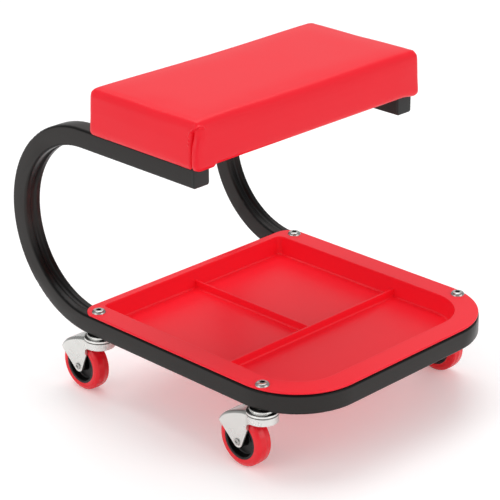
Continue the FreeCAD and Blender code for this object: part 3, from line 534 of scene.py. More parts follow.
floor()
studio()


# %% [markdown]
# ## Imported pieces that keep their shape
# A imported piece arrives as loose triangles. Where its shape is already right, such as the bent
# tube or the pressed fork, a copy is merged, its flat faces are joined up, and it is shaded
# smoothly across shallow edges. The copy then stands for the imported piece.


# %% Merged copies
MERGE_DISTANCE = 0.00001
FLAT_DEGREES = 0.5
SHALLOW_DEGREES = 32


def merged_copy(node):
    """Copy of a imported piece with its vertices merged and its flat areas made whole."""
    source = frame["nodes"][node]
    only(source)
    bpy.ops.object.duplicate()
    piece = bpy.context.object
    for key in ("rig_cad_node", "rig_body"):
        if key in piece:
            del piece[key]
    piece.parent = None
    only(piece)
    bpy.ops.mesh.customdata_custom_splitnormals_clear()
    edit(piece)
    bpy.ops.mesh.select_all(action="SELECT")
    bpy.ops.mesh.remove_doubles(threshold=MERGE_DISTANCE)
    bpy.ops.mesh.dissolve_limited(angle_limit=math.radians(FLAT_DEGREES))
    leave_edit()
    return piece


def dressed_node(node, material, slot, body):
    """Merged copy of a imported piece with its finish, in that piece's place."""
    piece = smooth(merged_copy(node), SHALLOW_DEGREES)
    return finish(piece, f"{node}_finished", material, slot, body, node)


dressed_node("frame_tube", POWDER_COAT, "frame_paint", "frame")
dressed_node("left_arm_cap", CAP_BLACK, "cap_plastic", "frame")
dressed_node("right_arm_cap", CAP_BLACK, "cap_plastic", "frame")


# %% [markdown]
# ## The tool tray
# The real tray is one thin moulding: a flat rim that lies on the tube, a basin with slightly
# leaning walls, and two low walls that part it into three. It could be drawn as one surface and
# thickened, but its edges are what the eye reads, so it is built from solid blocks instead, as a
# pattern maker would: a rim plate and a basin are joined, a smaller basin is cut out, and then the
# edges are rounded. The tool that cuts the basin has its lower edges rounded first, which leaves a
# fillet round the tray's floor.

# %% Tray sizes
tray_low, tray_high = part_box("tool_tray")
TRAY_TOP = tray_high.z / MM
RIM_THICKNESS = 3.0
RAIL_TOP = TRAY_TOP - RIM_THICKNESS
BASIN_DEPTH = 25.4
TRAY_FLOOR = TRAY_TOP - BASIN_DEPTH
TRAY_UNDERSIDE = tray_low.z / MM
RIM_SHORT = 0.8
RIM_CORNERS = (88.9 - RIM_SHORT, 22.0)
TRAY_HALF_WIDTH = tray_high.x / MM - RIM_SHORT
TRAY_FRONT = tray_low.y / MM + RIM_SHORT
TRAY_BACK = tray_high.y / MM
POCKET_HALF_WIDTH = 157.5
POCKET_FRONT = -219.5
POCKET_BACK = 116.5
POCKET_CORNERS = (58.9, 7.0)
WALL_LEAN = 2.0 / BASIN_DEPTH
WALL = 2.5
FLOOR_FILLET = 2.5
DIVIDER_TOP = TRAY_FLOOR + 10.5
DIVIDER_HALF = 1.5
DIVIDER_FOOT = 2.5
DIVIDER_ROUND = 0.8
CROSS_DIVIDER = -87.5
CROSS_REACH = 157.0
LONG_DIVIDER_END = 116.3


# %% Outlines drawn from corner to corner
SAME_PLACE = 0.01
ROUNDING_SEGMENTS = 5


def draw_outline(corners, place):
    """Closed outline: one vertex is extruded from corner to corner, and corners are then rounded.

    A corner is (u, v, run), where run is how far its rounding reaches along the edges beside it,
    and place turns u and v into a point. All lengths are in millimetres.
    """
    points = [place(u, v) for u, v, _ in corners]
    bpy.ops.mesh.primitive_plane_add(size=MM, location=points[0] * MM)
    piece = bpy.context.object
    apply_place(piece)
    edit(piece)
    bpy.ops.mesh.select_mode(type="VERT")
    bpy.ops.mesh.select_all(action="SELECT")
    bpy.ops.mesh.merge(type="CENTER")
    for here, there in zip(points, points[1:]):
        bpy.ops.mesh.extrude_region_move(TRANSFORM_OT_translate={"value": (there - here) * MM})

    def stands_at(chosen):
        return lambda vertex: any((vertex.co / MM - point).length < SAME_PLACE for point in chosen)

    pick(piece, "verts", stands_at([points[0], points[-1]]))
    bpy.ops.mesh.edge_face_add()
    for run in sorted({corner[2] for corner in corners if corner[2]}):
        chosen = [point for point, corner in zip(points, corners) if corner[2] == run]
        pick(piece, "verts", stands_at(chosen))
        bpy.ops.mesh.bevel(
            offset=run * MM, segments=ROUNDING_SEGMENTS, affect="VERTICES", clamp_overlap=False
        )
    leave_edit()
    return piece


def turned(corners, centre, axis, steps):
    """Closed outline swung right round an axis; u runs along the axis and v away from it."""
    along = Vector(axis)
    away = Vector((0, 0, 1)) if abs(along.z) < 0.5 else Vector((1, 0, 0))
    piece = draw_outline(corners, lambda u, v: centre + along * u + away * v)
    edit(piece)
    bpy.ops.mesh.select_all(action="SELECT")
    bpy.ops.mesh.spin(steps=steps, angle=math.tau, center=centre * MM, axis=axis, use_auto_merge=True)
    bpy.ops.mesh.select_all(action="SELECT")
    bpy.ops.mesh.remove_doubles(threshold=MERGE_DISTANCE)
    bpy.ops.mesh.normals_make_consistent(inside=False)
    leave_edit()
    return piece


# %% Blocks with rounded upright corners
FRONT_CORNER_SEGMENTS = 20
BACK_CORNER_SEGMENTS = 8


def block(low, high):
    """Plain box between two corners, in millimetres."""
    size = [(b - a) * MM for a, b in zip(low, high)]
    middle = [(a + b) / 2 * MM for a, b in zip(low, high)]
    bpy.ops.mesh.primitive_cube_add(size=1, location=middle, scale=size)
    return apply_place(bpy.context.object)


def bevel_edges(piece, test, width, segments, profile=0.5):
    """Bevels the edges that pass a test, by a width in millimetres."""
    edit(piece)
    count = pick(piece, "edges", test)
    bpy.ops.mesh.bevel(
        offset=width * MM, segments=segments, profile=profile, affect="EDGES", clamp_overlap=False
    )
    leave_edit()
    return count


def round_uprights(piece, front_radius, back_radius, middle_y):
    """Rounds a block's upright corners, with one radius at the front and one at the back."""
    def upright(edge):
        a, b = (vertex.co for vertex in edge.verts)
        return abs(a.z - b.z) > max(abs(a.x - b.x), abs(a.y - b.y))

    def in_front(edge):
        return upright(edge) and edge.verts[0].co.y < middle_y * MM

    def behind(edge):
        a, b = (vertex.co for vertex in edge.verts)
        corner = abs(abs(a.x) - abs(b.x)) < 4 * MM and min(a.y, b.y) > middle_y * MM
        return upright(edge) and corner

    bevel_edges(piece, in_front, front_radius, FRONT_CORNER_SEGMENTS)
    bevel_edges(piece, behind, back_radius, BACK_CORNER_SEGMENTS)


def basin_block(outset, bottom, top):
    """The pocket's shape as a solid, drawn in towards its floor by the walls' lean."""
    piece = block(
        (-POCKET_HALF_WIDTH, POCKET_FRONT, bottom),
        (POCKET_HALF_WIDTH, POCKET_BACK, top),
    )
    middle_y = (POCKET_FRONT + POCKET_BACK) / 2 * MM
    for vertex in piece.data.vertices:
        outwards = outset * MM - (TRAY_TOP * MM - vertex.co.z) * WALL_LEAN
        vertex.co.x += outwards if vertex.co.x > 0 else -outwards
        vertex.co.y += outwards if vertex.co.y > middle_y else -outwards
    front_radius, back_radius = POCKET_CORNERS
    round_uprights(piece, front_radius + outset, back_radius + outset, 0)
    return piece


# %% Rim, basin and pocket
def tray_shell():
    rim = block((-TRAY_HALF_WIDTH, TRAY_FRONT, RAIL_TOP), (TRAY_HALF_WIDTH, TRAY_BACK, TRAY_TOP))
    round_uprights(rim, *RIM_CORNERS, 0)
    combine(rim, basin_block(WALL, TRAY_UNDERSIDE, RAIL_TOP + 1.5), "UNION")
    pocket = basin_block(0, TRAY_FLOOR, TRAY_TOP + 6.0)

    def at_floor(edge):
        return max(v.co.z for v in edge.verts) < (TRAY_FLOOR + SAME_PLACE) * MM

    bevel_edges(pocket, at_floor, FLOOR_FILLET, 4)
    return combine(rim, pocket, "DIFFERENCE")


def divider(start, end):
    """Low wall between two points, with its foot flared into the floor and its top rounded."""
    run = Vector(end) - Vector(start)
    across = Vector((-run.y, run.x, 0)).normalized()
    flared = DIVIDER_HALF + DIVIDER_FOOT
    half_section = [
        (flared, TRAY_FLOOR - 1.0, 0),
        (flared, TRAY_FLOOR, 0),
        (DIVIDER_HALF, TRAY_FLOOR, DIVIDER_FOOT),
        (DIVIDER_HALF, DIVIDER_TOP, DIVIDER_ROUND),
    ]
    section = half_section + [(-u, v, rounding) for u, v, rounding in reversed(half_section)]
    piece = draw_outline(section, lambda u, v: Vector(start) + across * u + Vector((0, 0, v)))
    edit(piece)
    bpy.ops.mesh.select_all(action="SELECT")
    bpy.ops.mesh.remove_doubles(threshold=MERGE_DISTANCE)
    bpy.ops.mesh.edge_face_add()
    bpy.ops.mesh.extrude_region_move(TRANSFORM_OT_translate={"value": run * MM})
    bpy.ops.mesh.select_all(action="SELECT")
    bpy.ops.mesh.normals_make_consistent(inside=False)
    leave_edit()
    return piece


tray = tray_shell()
cross = divider((-CROSS_REACH, CROSS_DIVIDER, 0), (CROSS_REACH, CROSS_DIVIDER, 0))
combine(tray, cross, "UNION")
combine(tray, divider((0, CROSS_DIVIDER, 0), (0, LONG_DIVIDER_END, 0)), "UNION")
print("tray after joining:", len(tray.data.polygons), "faces")


# %% Bolt holes, bend relief and rounded edges
CASTER_X = 174.8
CASTER_YS = (-178.5, 105.5)
BOLT_PLACES = [Vector((x, y)) for x in (-CASTER_X, CASTER_X) for y in CASTER_YS]
BOLT_HOLE_RADIUS = 5.3
BEND_Y = 114.3
BEND_Z = RAIL_TOP + 109.8
BEND_GAP = 0.3
BEND_REACH = 25.1
BEND_ROOM_WIDTH = 26.0
BEND_ROOM_DEGREES = 10


def bolt_hole(x, y):
    bpy.ops.mesh.primitive_cylinder_add(
        vertices=32,
        radius=BOLT_HOLE_RADIUS * MM,
        depth=20 * MM,
        location=(x * MM, y * MM, TRAY_TOP * MM),
    )
    return apply_place(bpy.context.object)


def bend_room(side):
    """Wedge of a ring over the start of a side bend, where the tube climbs under the rim."""
    inner, outer = BEND_Z - RAIL_TOP - BEND_GAP, BEND_Z - RAIL_TOP + BEND_REACH
    bpy.ops.mesh.primitive_plane_add(
        size=1,
        location=(side * CASTER_X * MM, BEND_Y * MM, (BEND_Z - (inner + outer) / 2) * MM),
        rotation=(math.radians(90), 0, 0),
    )
    piece = bpy.context.object
    piece.scale = (BEND_ROOM_WIDTH * MM, (outer - inner) * MM, 1)
    apply_place(piece)
    edit(piece)
    bpy.ops.mesh.select_all(action="SELECT")
    bpy.ops.mesh.spin(
        steps=10,
        angle=math.radians(-BEND_ROOM_DEGREES),
        center=(side * CASTER_X * MM, BEND_Y * MM, BEND_Z * MM),
        axis=(1, 0, 0),
    )
    bpy.ops.mesh.select_all(action="SELECT")
    bpy.ops.mesh.normals_make_consistent(inside=False)
    leave_edit()
    return piece


for x in (-CASTER_X, CASTER_X):
    combine(tray, bend_room(math.copysign(1, x)), "DIFFERENCE")
    for y in CASTER_YS:
        combine(tray, bolt_hole(x, y), "DIFFERENCE")


SHARP_ANGLE = math.radians(20)
BOLT_AREA_RADIUS = 7
MOUTH_ROUND = 1.1
FOOT_ROUND = 1.6
FOOT_ROUND_END = 100
TRAY_MERGE_DISTANCE = 0.00002
TRAY_FLAT_DEGREES = 0.3
TRAY_SMOOTH_DEGREES = 35


def near_bolt(edge):
    middle = (edge.verts[0].co + edge.verts[1].co) / 2
    return any((middle.xy - place * MM).length < BOLT_AREA_RADIUS * MM for place in BOLT_PLACES)


def mouth_or_rim(edge):
    on_top = min(v.co.z for v in edge.verts) > (TRAY_TOP - SAME_PLACE) * MM
    turns = len(edge.link_faces) == 2 and edge.calc_face_angle(0.0) > SHARP_ANGLE
    return on_top and turns and not near_bolt(edge)


def rim_foot(edge):
    """Lower edge of the rim's side, as far back as the tube stays straight."""
    at_foot = all(abs(v.co.z - RAIL_TOP * MM) < SAME_PLACE * MM for v in edge.verts)
    outside = len(edge.link_faces) == 2 and edge.calc_face_angle_signed(0.0) > SHARP_ANGLE
    straight = min(v.co.y for v in edge.verts) < FOOT_ROUND_END * MM
    return at_foot and outside and straight and not near_bolt(edge)


edit(tray)
bpy.ops.mesh.select_all(action="SELECT")
bpy.ops.mesh.remove_doubles(threshold=TRAY_MERGE_DISTANCE)
bpy.ops.mesh.dissolve_limited(angle_limit=math.radians(TRAY_FLAT_DEGREES))
leave_edit()
print("rounded top edges:", bevel_edges(tray, mouth_or_rim, MOUTH_ROUND, 3))
print("rounded foot edges:", bevel_edges(tray, rim_foot, FOOT_ROUND, 3))
smooth(tray, TRAY_SMOOTH_DEGREES)
tray.modifiers.new("face weights", "WEIGHTED_NORMAL").keep_sharp = True
apply_modifiers(tray)
finish(tray, "tray_moulding", TRAY_RED, "tray_plastic", "frame", "tool_tray")

# %% [markdown]
# ## The padded seat
# The seat is a plywood board with a foam block on it, wrapped in vinyl that is pulled under the
# board and stapled. The foam makes the top crown and the sides bulge a little, and at each corner
# the spare vinyl is tucked under a standing fold. A cloth simulation with air pressure inside gives
# the stuffed shape: a slightly smaller block is remeshed into even squares, its foot is held, and
# it is blown up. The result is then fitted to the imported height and, level by level, to the packed
# outline, which its bulge passes by two millimetres, and the corner folds are pressed into it.

# %% Seat sizes
cover_low, cover_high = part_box("seat_cover")
SEAT_HALF_WIDTH = cover_high.x / MM
SEAT_FRONT = cover_low.y / MM
SEAT_BACK = cover_high.y / MM
SEAT_MIDDLE = (SEAT_FRONT + SEAT_BACK) / 2
SEAT_FOOT = cover_low.z / MM
SEAT_TOP = cover_high.z / MM
SEAT_CORNER = 5.0
print("seat's corners in mm:", in_mm(cover_low), in_mm(cover_high))


# %% The block of foam before it is blown up
SHRINK = 1.6
TOP_SHRINK = 2.5
BLOCK_CORNER = 3.0
TOP_ROUND = 9.0
FOOT_EDGE_ROUND = 1.6
VOXEL = 4.6


def foam_block():
    piece = block(
        (-SEAT_HALF_WIDTH + SHRINK, SEAT_FRONT + SHRINK, SEAT_FOOT),
        (SEAT_HALF_WIDTH - SHRINK, SEAT_BACK - SHRINK, SEAT_TOP - TOP_SHRINK),
    )

    def at_top(edge):
        return min(v.co.z for v in edge.verts) > (SEAT_TOP - 8.0) * MM

    def at_foot(edge):
        return max(v.co.z for v in edge.verts) < (SEAT_FOOT + 0.1) * MM

    round_uprights(piece, BLOCK_CORNER, BLOCK_CORNER, SEAT_MIDDLE)
    bevel_edges(piece, at_top, TOP_ROUND, 5)
    bevel_edges(piece, at_foot, FOOT_EDGE_ROUND, 2)
    remesh = piece.modifiers.new("even squares", "REMESH")
    remesh.mode = "VOXEL"
    remesh.voxel_size = VOXEL * MM
    return apply_modifiers(piece)


# %% Blowing it up
PRESSURE = 4.0
MOST_SWELL = 5.0
SWELL_SHARE = 0.35
EVEN_ROUNDS = 14
LAST_FRAME = 20
HELD_HEIGHT = 4.0
STRETCH, SHEAR, BENDING = 60, 30, 12


def blow_up(piece):
    """Cloth with pressure and no gravity, held along its foot; no point moves more than the cap.

    The vinyl is tight over firm foam, so only a share of each move is kept, and the moves are
    evened out over neighbouring points.
    """
    held = piece.vertex_groups.new(name="held foot")
    low = [v.index for v in piece.data.vertices if v.co.z < (SEAT_FOOT + HELD_HEIGHT) * MM]
    held.add(low, 1.0, "REPLACE")
    cloth = piece.modifiers.new("stuffing", "CLOTH")
    settings = cloth.settings
    settings.vertex_group_mass = held.name
    settings.use_pressure = True
    settings.uniform_pressure_force = PRESSURE
    settings.effector_weights.gravity = 0
    settings.tension_stiffness = settings.compression_stiffness = STRETCH
    settings.shear_stiffness = SHEAR
    settings.bending_stiffness = BENDING
    cloth.collision_settings.use_collision = False
    for step in range(1, LAST_FRAME + 1):
        bpy.context.scene.frame_set(step)
    shaped = piece.evaluated_get(bpy.context.evaluated_depsgraph_get())
    moves = [there.co - here.co for there, here in zip(shaped.data.vertices, piece.data.vertices)]
    piece.modifiers.remove(cloth)
    bpy.context.scene.frame_set(1)
    print("swelling, largest in mm:", round(max(move.length for move in moves) / MM, 1))
    moves = [move * min(1.0, MOST_SWELL * MM / max(move.length, 1e-9)) for move in moves]
    neighbours = [[] for _ in moves]
    for edge in piece.data.edges:
        a, b = edge.vertices
        neighbours[a].append(b)
        neighbours[b].append(a)
    for _ in range(EVEN_ROUNDS):
        moves = [
            (move + sum((moves[n] for n in near), Vector())) / (len(near) + 1)
            for move, near in zip(moves, neighbours)
        ]
    for vertex, move in zip(piece.data.vertices, moves):
        vertex.co += move * SWELL_SHARE
    piece.vertex_groups.clear()
    return piece


def subdivided(piece):
    modifier = piece.modifiers.new("smooth skin", "SUBSURF")
    modifier.levels = modifier.render_levels = 1
    return apply_modifiers(piece)


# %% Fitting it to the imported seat
PROFILE = ((0.0, -1.8), (0.2, -2.0), (0.5, -1.5), (0.8, 0.0), (1.0, 1.5))


def drawn_in(share):
    """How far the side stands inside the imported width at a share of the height; the foam bulges."""
    for (low, a), (high, b) in zip(PROFILE, PROFILE[1:]):
        if share <= high:
            return a + (b - a) * (share - low) / (high - low)
    return PROFILE[-1][1]


FRONT_FLAT = 1.5
BANDS = 10
PROFILE_FROM, PROFILE_TO = 0.1, 0.8


def fit_to_packed(piece, low, high):
    """Brings the blown-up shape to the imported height, and each level to its packed outline."""
    heights = [vertex.co.z for vertex in piece.data.vertices]
    lowest, highest = min(heights), max(heights)
    middle = (low + high) / 2
    reach = [[0.0, 0.0] for _ in range(BANDS + 1)]

    def level(vertex):
        """Share of the height, and the place on the scale of bands, which stops short of both ends."""
        share = (vertex.co.z - lowest) / (highest - lowest)
        held = min(PROFILE_TO, max(PROFILE_FROM, share))
        return share, held, (held - PROFILE_FROM) / (PROFILE_TO - PROFILE_FROM) * BANDS

    for vertex in piece.data.vertices:
        band = reach[round(level(vertex)[2])]
        band[0] = max(band[0], abs(vertex.co.x - middle.x))
        band[1] = max(band[1], abs(vertex.co.y - middle.y))
    print("half widths by height in mm:", [round(width / MM, 1) for width, _ in reach])
    for vertex in piece.data.vertices:
        share, held, place = level(vertex)
        below = min(BANDS - 1, int(place))
        blend = place - below
        width = reach[below][0] * (1 - blend) + reach[below + 1][0] * blend
        depth = reach[below][1] * (1 - blend) + reach[below + 1][1] * blend
        inset = drawn_in(held) * MM
        flat = FRONT_FLAT * MM if vertex.co.y < middle.y else 0.0
        half_width, half_depth = (high.x - low.x) / 2 - inset, (high.y - low.y) / 2 - inset - flat
        vertex.co.x = middle.x + (vertex.co.x - middle.x) * half_width / width
        vertex.co.y = middle.y + (vertex.co.y - middle.y) * half_depth / depth
        vertex.co.z = low.z + share * (high.z - low.z)
    return piece


seat = foam_block()
blow_up(seat)
subdivided(seat)
fit_to_packed(seat, cover_low, cover_high)
print("seat:", len(seat.data.polygons), "faces")


# %% [markdown]
# ## Corner folds
# The spare vinyl at each corner is tucked in under the next panel. What shows is a thin dark crease
# that stands upright on a narrow face, with the panel's edge rolled into a pale arch over it, a
# hollow under the arch, and a soft upright roll where the vinyl comes out again. Folds are made by
# hand and differ: at the front left the crease is a finger's width from the corner and its arch
# runs over on to the front, while the other three fade before the corner. The front folds are on
# the end faces and the back folds on the back. The faces round a corner are divided finely, and
# each point there moves in or out by a profile of its run from the crease and of its height.

# %% Fine faces at the corners
FINE_REACHES = (34.0, 30.0)
FOLD_REACH = 36.0


def corner_region(point, reach):
    return (
        abs(point.x) > (SEAT_HALF_WIDTH - reach) * MM
        and abs(point.y - SEAT_MIDDLE * MM) > (SEAT_BACK - SEAT_MIDDLE - reach) * MM
    )


edit(seat)
for reach in FINE_REACHES:
    pick(seat, "faces", lambda face: corner_region(face.calc_center_median(), reach))
    bpy.ops.mesh.subdivide(number_cuts=1, smoothness=1.0)
leave_edit()
print("seat with fine corners:", len(seat.data.polygons), "faces")

# %% The arch over a fold
CREASE_AT_FRONT_LEFT, CREASE_ELSEWHERE = 11.5, 27.0
ARCH_START, ARCH_PEAK, ARCH_END = -3.4, 14.0, 24.0
ARCH_FOOT, ARCH_TOP, ARCH_FALL = 33.0, 51.5, 5.0
ARCH_STEP = 0.75


def arch_height(run):
    """Height of the arch over the seat's foot at a run from the crease: a quarter oval, then a fall."""
    if run < ARCH_PEAK:
        share = min(1.0, (ARCH_PEAK - run) / (ARCH_PEAK - ARCH_START))
        return ARCH_FOOT + (ARCH_TOP - ARCH_FOOT) * math.sqrt(1 - share ** 2)
    return ARCH_TOP - ARCH_FALL * min(1.0, (run - ARCH_PEAK) / (ARCH_END - ARCH_PEAK)) ** 2


arch_runs = [ARCH_START + ARCH_STEP * step for step in range(37)]
ARCH = [Vector((run, arch_height(run))) for run in arch_runs]
ARCH.insert(0, Vector((ARCH_START, ARCH_FOOT - 4.0)))


# %% Pressing the folds in
CREASE_DEPTH, CREASE_WIDTH = 2.8, 2.0
SLOPE_DEPTH = 0.9
HOLLOW_DEPTH, HOLLOW_FROM, HOLLOW_RUN = 3.4, 9.0, 14.0
LIP_HEIGHT, LIP_WIDTH, LIP_FADE = 1.5, 2.4, 4.0
ROLL_HEIGHT, ROLL_RUN, ROLL_WIDTH, ROLL_TOP = 0.9, 7.5, 6.0, 32.0
PUCKER_HEIGHT, PUCKER_WIDTH, PUCKER_LENGTH = 0.5, 2.0, 4.5
PUCKERS = ((2.6, 16.0), (7.4, 16.0))
SHALLOWER = 0.8
FADE_FROM, FADE_RUN = 5.0, 9.0


def soft_step(value):
    value = min(1.0, max(0.0, value))
    return value * value * (3 - 2 * value)


def bump(distance, width):
    """Smooth bump, 1 at no distance and 0 from the width on."""
    return soft_step(1.0 - abs(distance) / width)


def fold_move(run, height):
    """How far in a point moves, in mm, at a run from the crease and a height above the foot."""
    under = soft_step((arch_height(run) - height) / 2.0) if run > ARCH_START else 0.0
    crease = CREASE_DEPTH * bump(run - 0.6, CREASE_WIDTH) * soft_step((ARCH_TOP - 4.0 - height) / 6.0)
    slope = SLOPE_DEPTH * soft_step((run + 3.2) / 3.2) * (1 - soft_step(run / 3.0)) * under
    hollow = HOLLOW_DEPTH * soft_step((run + 1.0) / 2.0)
    hollow *= 1 - soft_step((run - HOLLOW_FROM) / HOLLOW_RUN)
    hollow *= soft_step((height - 24.0) / 18.0) * under
    near = min((Vector((run, height)) - point).length for point in ARCH)
    lip = LIP_HEIGHT * bump(near, LIP_WIDTH) * (1 - soft_step((run - ARCH_END + LIP_FADE) / LIP_FADE))
    roll = ROLL_HEIGHT * bump(run - ROLL_RUN, ROLL_WIDTH)
    roll *= soft_step((ROLL_TOP - height) / 14.0) * soft_step(height / 6.0)
    puckers = sum(
        PUCKER_HEIGHT * bump(run - place, PUCKER_WIDTH) * bump(height - level, PUCKER_LENGTH)
        for place, level in PUCKERS
    )
    return crease + slope + hollow - lip - roll - puckers


def press_folds(piece):
    arc_x = SEAT_HALF_WIDTH - SEAT_CORNER
    arc_y = (SEAT_BACK - SEAT_MIDDLE) - SEAT_CORNER
    quarter = math.pi / 2 * SEAT_CORNER
    moved = 0
    normals = [vertex.normal.copy() for vertex in piece.data.vertices]
    for vertex, normal in zip(piece.data.vertices, normals):
        height = vertex.co.z / MM - SEAT_FOOT
        if not corner_region(vertex.co, FOLD_REACH) or height < 0.5:
            continue
        x = abs(vertex.co.x) / MM - arc_x
        y = abs(vertex.co.y / MM - SEAT_MIDDLE) - arc_y
        at_front = vertex.co.y / MM < SEAT_MIDDLE
        front_left = at_front and vertex.co.x < 0
        if not at_front:
            x, y = y, x
        if x > 0 and y > 0:
            run = math.atan2(y, x) * SEAT_CORNER
        elif x > y:
            run = y
        else:
            run = quarter - x
        run += (CREASE_AT_FRONT_LEFT if front_left else CREASE_ELSEWHERE) - SEAT_CORNER
        inwards = fold_move(run, height)
        if not front_left:
            inwards *= SHALLOWER * (1 - soft_step((run - FADE_FROM) / FADE_RUN))
        if abs(inwards) > 1e-6:
            flat = Vector((normal.x, normal.y, 0.1 * normal.z))
            vertex.co -= flat.normalized() * inwards * MM
            moved += 1
    print("points moved for the folds:", moved)
    return piece


press_folds(seat)


# %% The hem that hangs past the tube
SIDE_DROP, CAP_DROP = 4.0, 3.2
HEM_BAND = 12.0
CAP_INNER_SIDE = 160.0
LEFT_STEP, RIGHT_STEP = 4.0, 26.0


def hang_hem(piece):
    """Lets the lower edge hang a little outside the tube, and in front of the arms' caps.

    At the left cap it starts with a step, where the cover was pulled short, and at the right softly.
    """
    for vertex in piece.data.vertices:
        x = abs(vertex.co.x) / MM
        above = vertex.co.z / MM - SEAT_FOOT
        if above > HEM_BAND:
            continue
        beside = SIDE_DROP * soft_step((x - SEAT_HALF_WIDTH + 2.6) / 1.5)
        step = LEFT_STEP if vertex.co.x < 0 else RIGHT_STEP
        ahead = soft_step((SEAT_FRONT + 9.0 - vertex.co.y / MM) / 3.0)
        ahead *= CAP_DROP * soft_step((x - CAP_INNER_SIDE) / step)
        vertex.co.z -= max(beside, ahead) * (1 - max(0.0, above) / HEM_BAND) * MM
    return piece


hang_hem(seat)


# %% The hollow under the seat
BOARD_CORNER = 9.0
TURNED_UNDER = 36.0


def board_room():
    """The plywood's space, and the open middle of the turned-under vinyl below it."""
    low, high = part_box("seat_board")
    board = block([v / MM for v in low], [v / MM for v in high])
    round_uprights(board, BOARD_CORNER, BOARD_CORNER, SEAT_MIDDLE)
    window = block(
        (-SEAT_HALF_WIDTH + TURNED_UNDER, SEAT_FRONT + TURNED_UNDER, SEAT_FOOT - 5.0),
        (SEAT_HALF_WIDTH - TURNED_UNDER, SEAT_BACK - TURNED_UNDER, SEAT_FOOT + 3.0),
    )
    return combine(board, window, "UNION")


combine(seat, board_room(), "DIFFERENCE")
smooth(seat, 60)
finish(seat, "seat_cushion", VINYL_RED, "seat_vinyl", "frame", "seat_cover", "seat_foam")

# %% [markdown]
# ## The wheels
# Each wheel is a black centre with a red tread cast round it. Both are turned shapes, so each is
# one outline swung round the axle. The tread is a little crowned, its shoulders are round, and a
# fine ridge shows where the mould's halves met. One wheel is modelled and copied to the four axles.

# %% Wheel outlines
PLACES = ("front_left", "front_right", "rear_left", "rear_right")
tyre_low, tyre_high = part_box("front_left_tyre")
WHEEL_RADIUS = (tyre_low.z + tyre_high.z) / 2 / MM
TREAD_HALF = 11.25
HUB_RADIUS = 24.0
HUB_HALF = 10.75
KEY_HALF = 3.5
KEY = 2.0
BOSS_HALF = 11.65
BORE = 4.6
WHEEL_STEPS = 72
WHEEL_SMOOTH_DEGREES = 35


def both_halves(half):
    """Full outline from the half on one side of the wheel's middle."""
    return half + [(-u, v, run) for u, v, run in reversed(half)]


TREAD_OUTLINE = both_halves([
    (KEY_HALF, HUB_RADIUS + KEY, 0),
    (KEY_HALF, HUB_RADIUS, 0),
    (HUB_HALF, HUB_RADIUS, 0),
    (TREAD_HALF, HUB_RADIUS + 0.9, 0.3),
    (TREAD_HALF, WHEEL_RADIUS - 5.0, 1.5),
    (TREAD_HALF - 3.4, WHEEL_RADIUS - 0.4, 1.5),
    (0.5, WHEEL_RADIUS - 0.12, 0),
    (0.25, WHEEL_RADIUS, 0),
])
CENTRE_OUTLINE = both_halves([
    (BOSS_HALF, BORE, 0),
    (BOSS_HALF, 7.2, 0.6),
    (9.4, 8.0, 0.5),
    (2.5, 8.4, 1.2),
    (2.5, HUB_RADIUS - 4.2, 1.6),
    (HUB_HALF - 1.2, HUB_RADIUS - 3.2, 0.5),
    (HUB_HALF, HUB_RADIUS - 2.6, 0.5),
    (HUB_HALF, HUB_RADIUS, 0),
    (KEY_HALF, HUB_RADIUS, 0),
    (KEY_HALF, HUB_RADIUS + KEY, 0),
])


# %% Turning the wheels and copying them to their axles
def axle_middle(place):
    low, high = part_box(f"{place}_tyre")
    return (low + high) / 2


def copy_to(model, offset):
    """Copy of a piece with a mesh of its own, moved by an offset in metres."""
    only(model)
    bpy.ops.object.duplicate()
    piece = bpy.context.object
    piece.location = offset
    return apply_place(piece)


def wheel_part(outline, part, material, slot):
    """One turned part of a wheel, at all four axles."""
    first = axle_middle(PLACES[0])
    wheel = turned(outline, first / MM, (1, 0, 0), WHEEL_STEPS)
    model = smooth(wheel, WHEEL_SMOOTH_DEGREES)
    copies = [copy_to(model, axle_middle(place) - first) for place in PLACES[1:]]
    for piece, place in zip([model] + copies, PLACES):
        node = f"{place}_{part}"
        finish(piece, f"{node}_turned", material, slot, f"{place}_wheel", node)


wheel_part(TREAD_OUTLINE, "tyre", TREAD_RED, "tyre_red")
wheel_part(CENTRE_OUTLINE, "hub", HUB_BLACK, "hub_plastic")

# %% [markdown]
# ## Bolts, forks and swivels
# The plated pieces already have their true shape in the imported part. What they lack is the small
# round that a press or a header leaves on every edge, which is where metal catches the light, so a
# merged copy gets a narrow bevel along its sharp edges. Inside the bolts' sockets the faces get a
# near-black colour: painted shade of the recess.

# %% Plated pieces with rounded edges
EDGE_ANGLE = 40


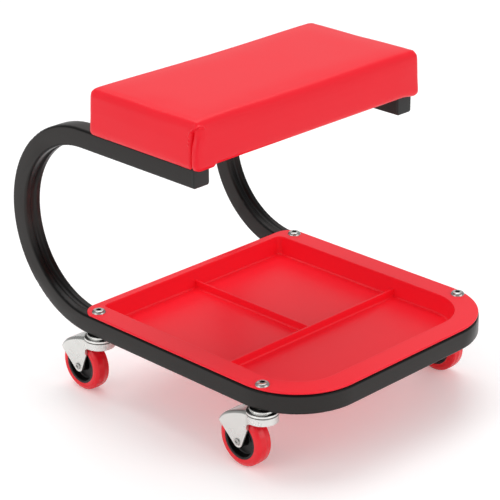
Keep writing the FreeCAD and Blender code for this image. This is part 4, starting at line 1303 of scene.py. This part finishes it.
def softened_node(node, material, slot, body, width):
    """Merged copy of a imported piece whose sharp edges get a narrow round, in millimetres."""
    piece = merged_copy(node)
    edges = piece.modifiers.new("soft edges", "BEVEL")
    edges.width = width * MM
    edges.segments = 2
    edges.limit_method = "ANGLE"
    edges.angle_limit = math.radians(EDGE_ANGLE)
    edges.harden_normals = False
    apply_modifiers(piece)
    smooth(piece, EDGE_ANGLE)
    piece.modifiers.new("even shading", "WEIGHTED_NORMAL").keep_sharp = True
    apply_modifiers(piece)
    return finish(piece, f"{node}_finished", material, slot, body, node)


for place in PLACES:
    softened_node(f"{place}_fork", FORK_ZINC, "zinc_plate", f"{place}_swivel", 0.3)
    softened_node(f"{place}_axle", RIVET_ZINC, "zinc_plate", f"{place}_swivel", 0.15)
    softened_node(f"{place}_raceway_cap", RACE_CHROME, "zinc_plate", "frame", 0.2)

# %% Bolt heads with dark sockets
SOCKET_REACH = 3.5
bolts = softened_node("caster_bolts", BRIGHT_ZINC, "zinc_plate", "frame", 0.12)
# Faces inside the sockets get the painted shade.
bolts.data.materials.append(PAINTED_SOCKET_SHADE)
head_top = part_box("caster_bolts")[1].z
for face in bolts.data.polygons:
    off_axis = min((face.center.xy - place * MM).length for place in BOLT_PLACES)
    if off_axis < SOCKET_REACH * MM and 0.2 * MM < head_top - face.center.z < 3.0 * MM:
        face.material_index = 1
print("socket faces:", sum(face.material_index for face in bolts.data.polygons))

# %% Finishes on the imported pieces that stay
STAYING = {
    "seat_board": PLYWOOD,
    "cover_staples": DULL_STEEL,
    "seat_bolts": BRIGHT_ZINC,
    "seat_washers": BRIGHT_ZINC,
    "seat_tee_nuts": BRIGHT_ZINC,
    "caster_nuts": BRIGHT_ZINC,
}
CASTER_STAYING = {
    "kingpin": BRIGHT_ZINC,
    "lower_race": BRIGHT_ZINC,
    "lower_balls": RACE_CHROME,
    "upper_balls": RACE_CHROME,
    "bush": DULL_STEEL,
}


def paint_node(node, material):
    piece = frame["nodes"][node]
    piece.data.materials.clear()
    piece.data.materials.append(material)


for node, material in STAYING.items():
    paint_node(node, material)
for place in PLACES:
    for part, material in CASTER_STAYING.items():
        paint_node(f"{place}_{part}", material)
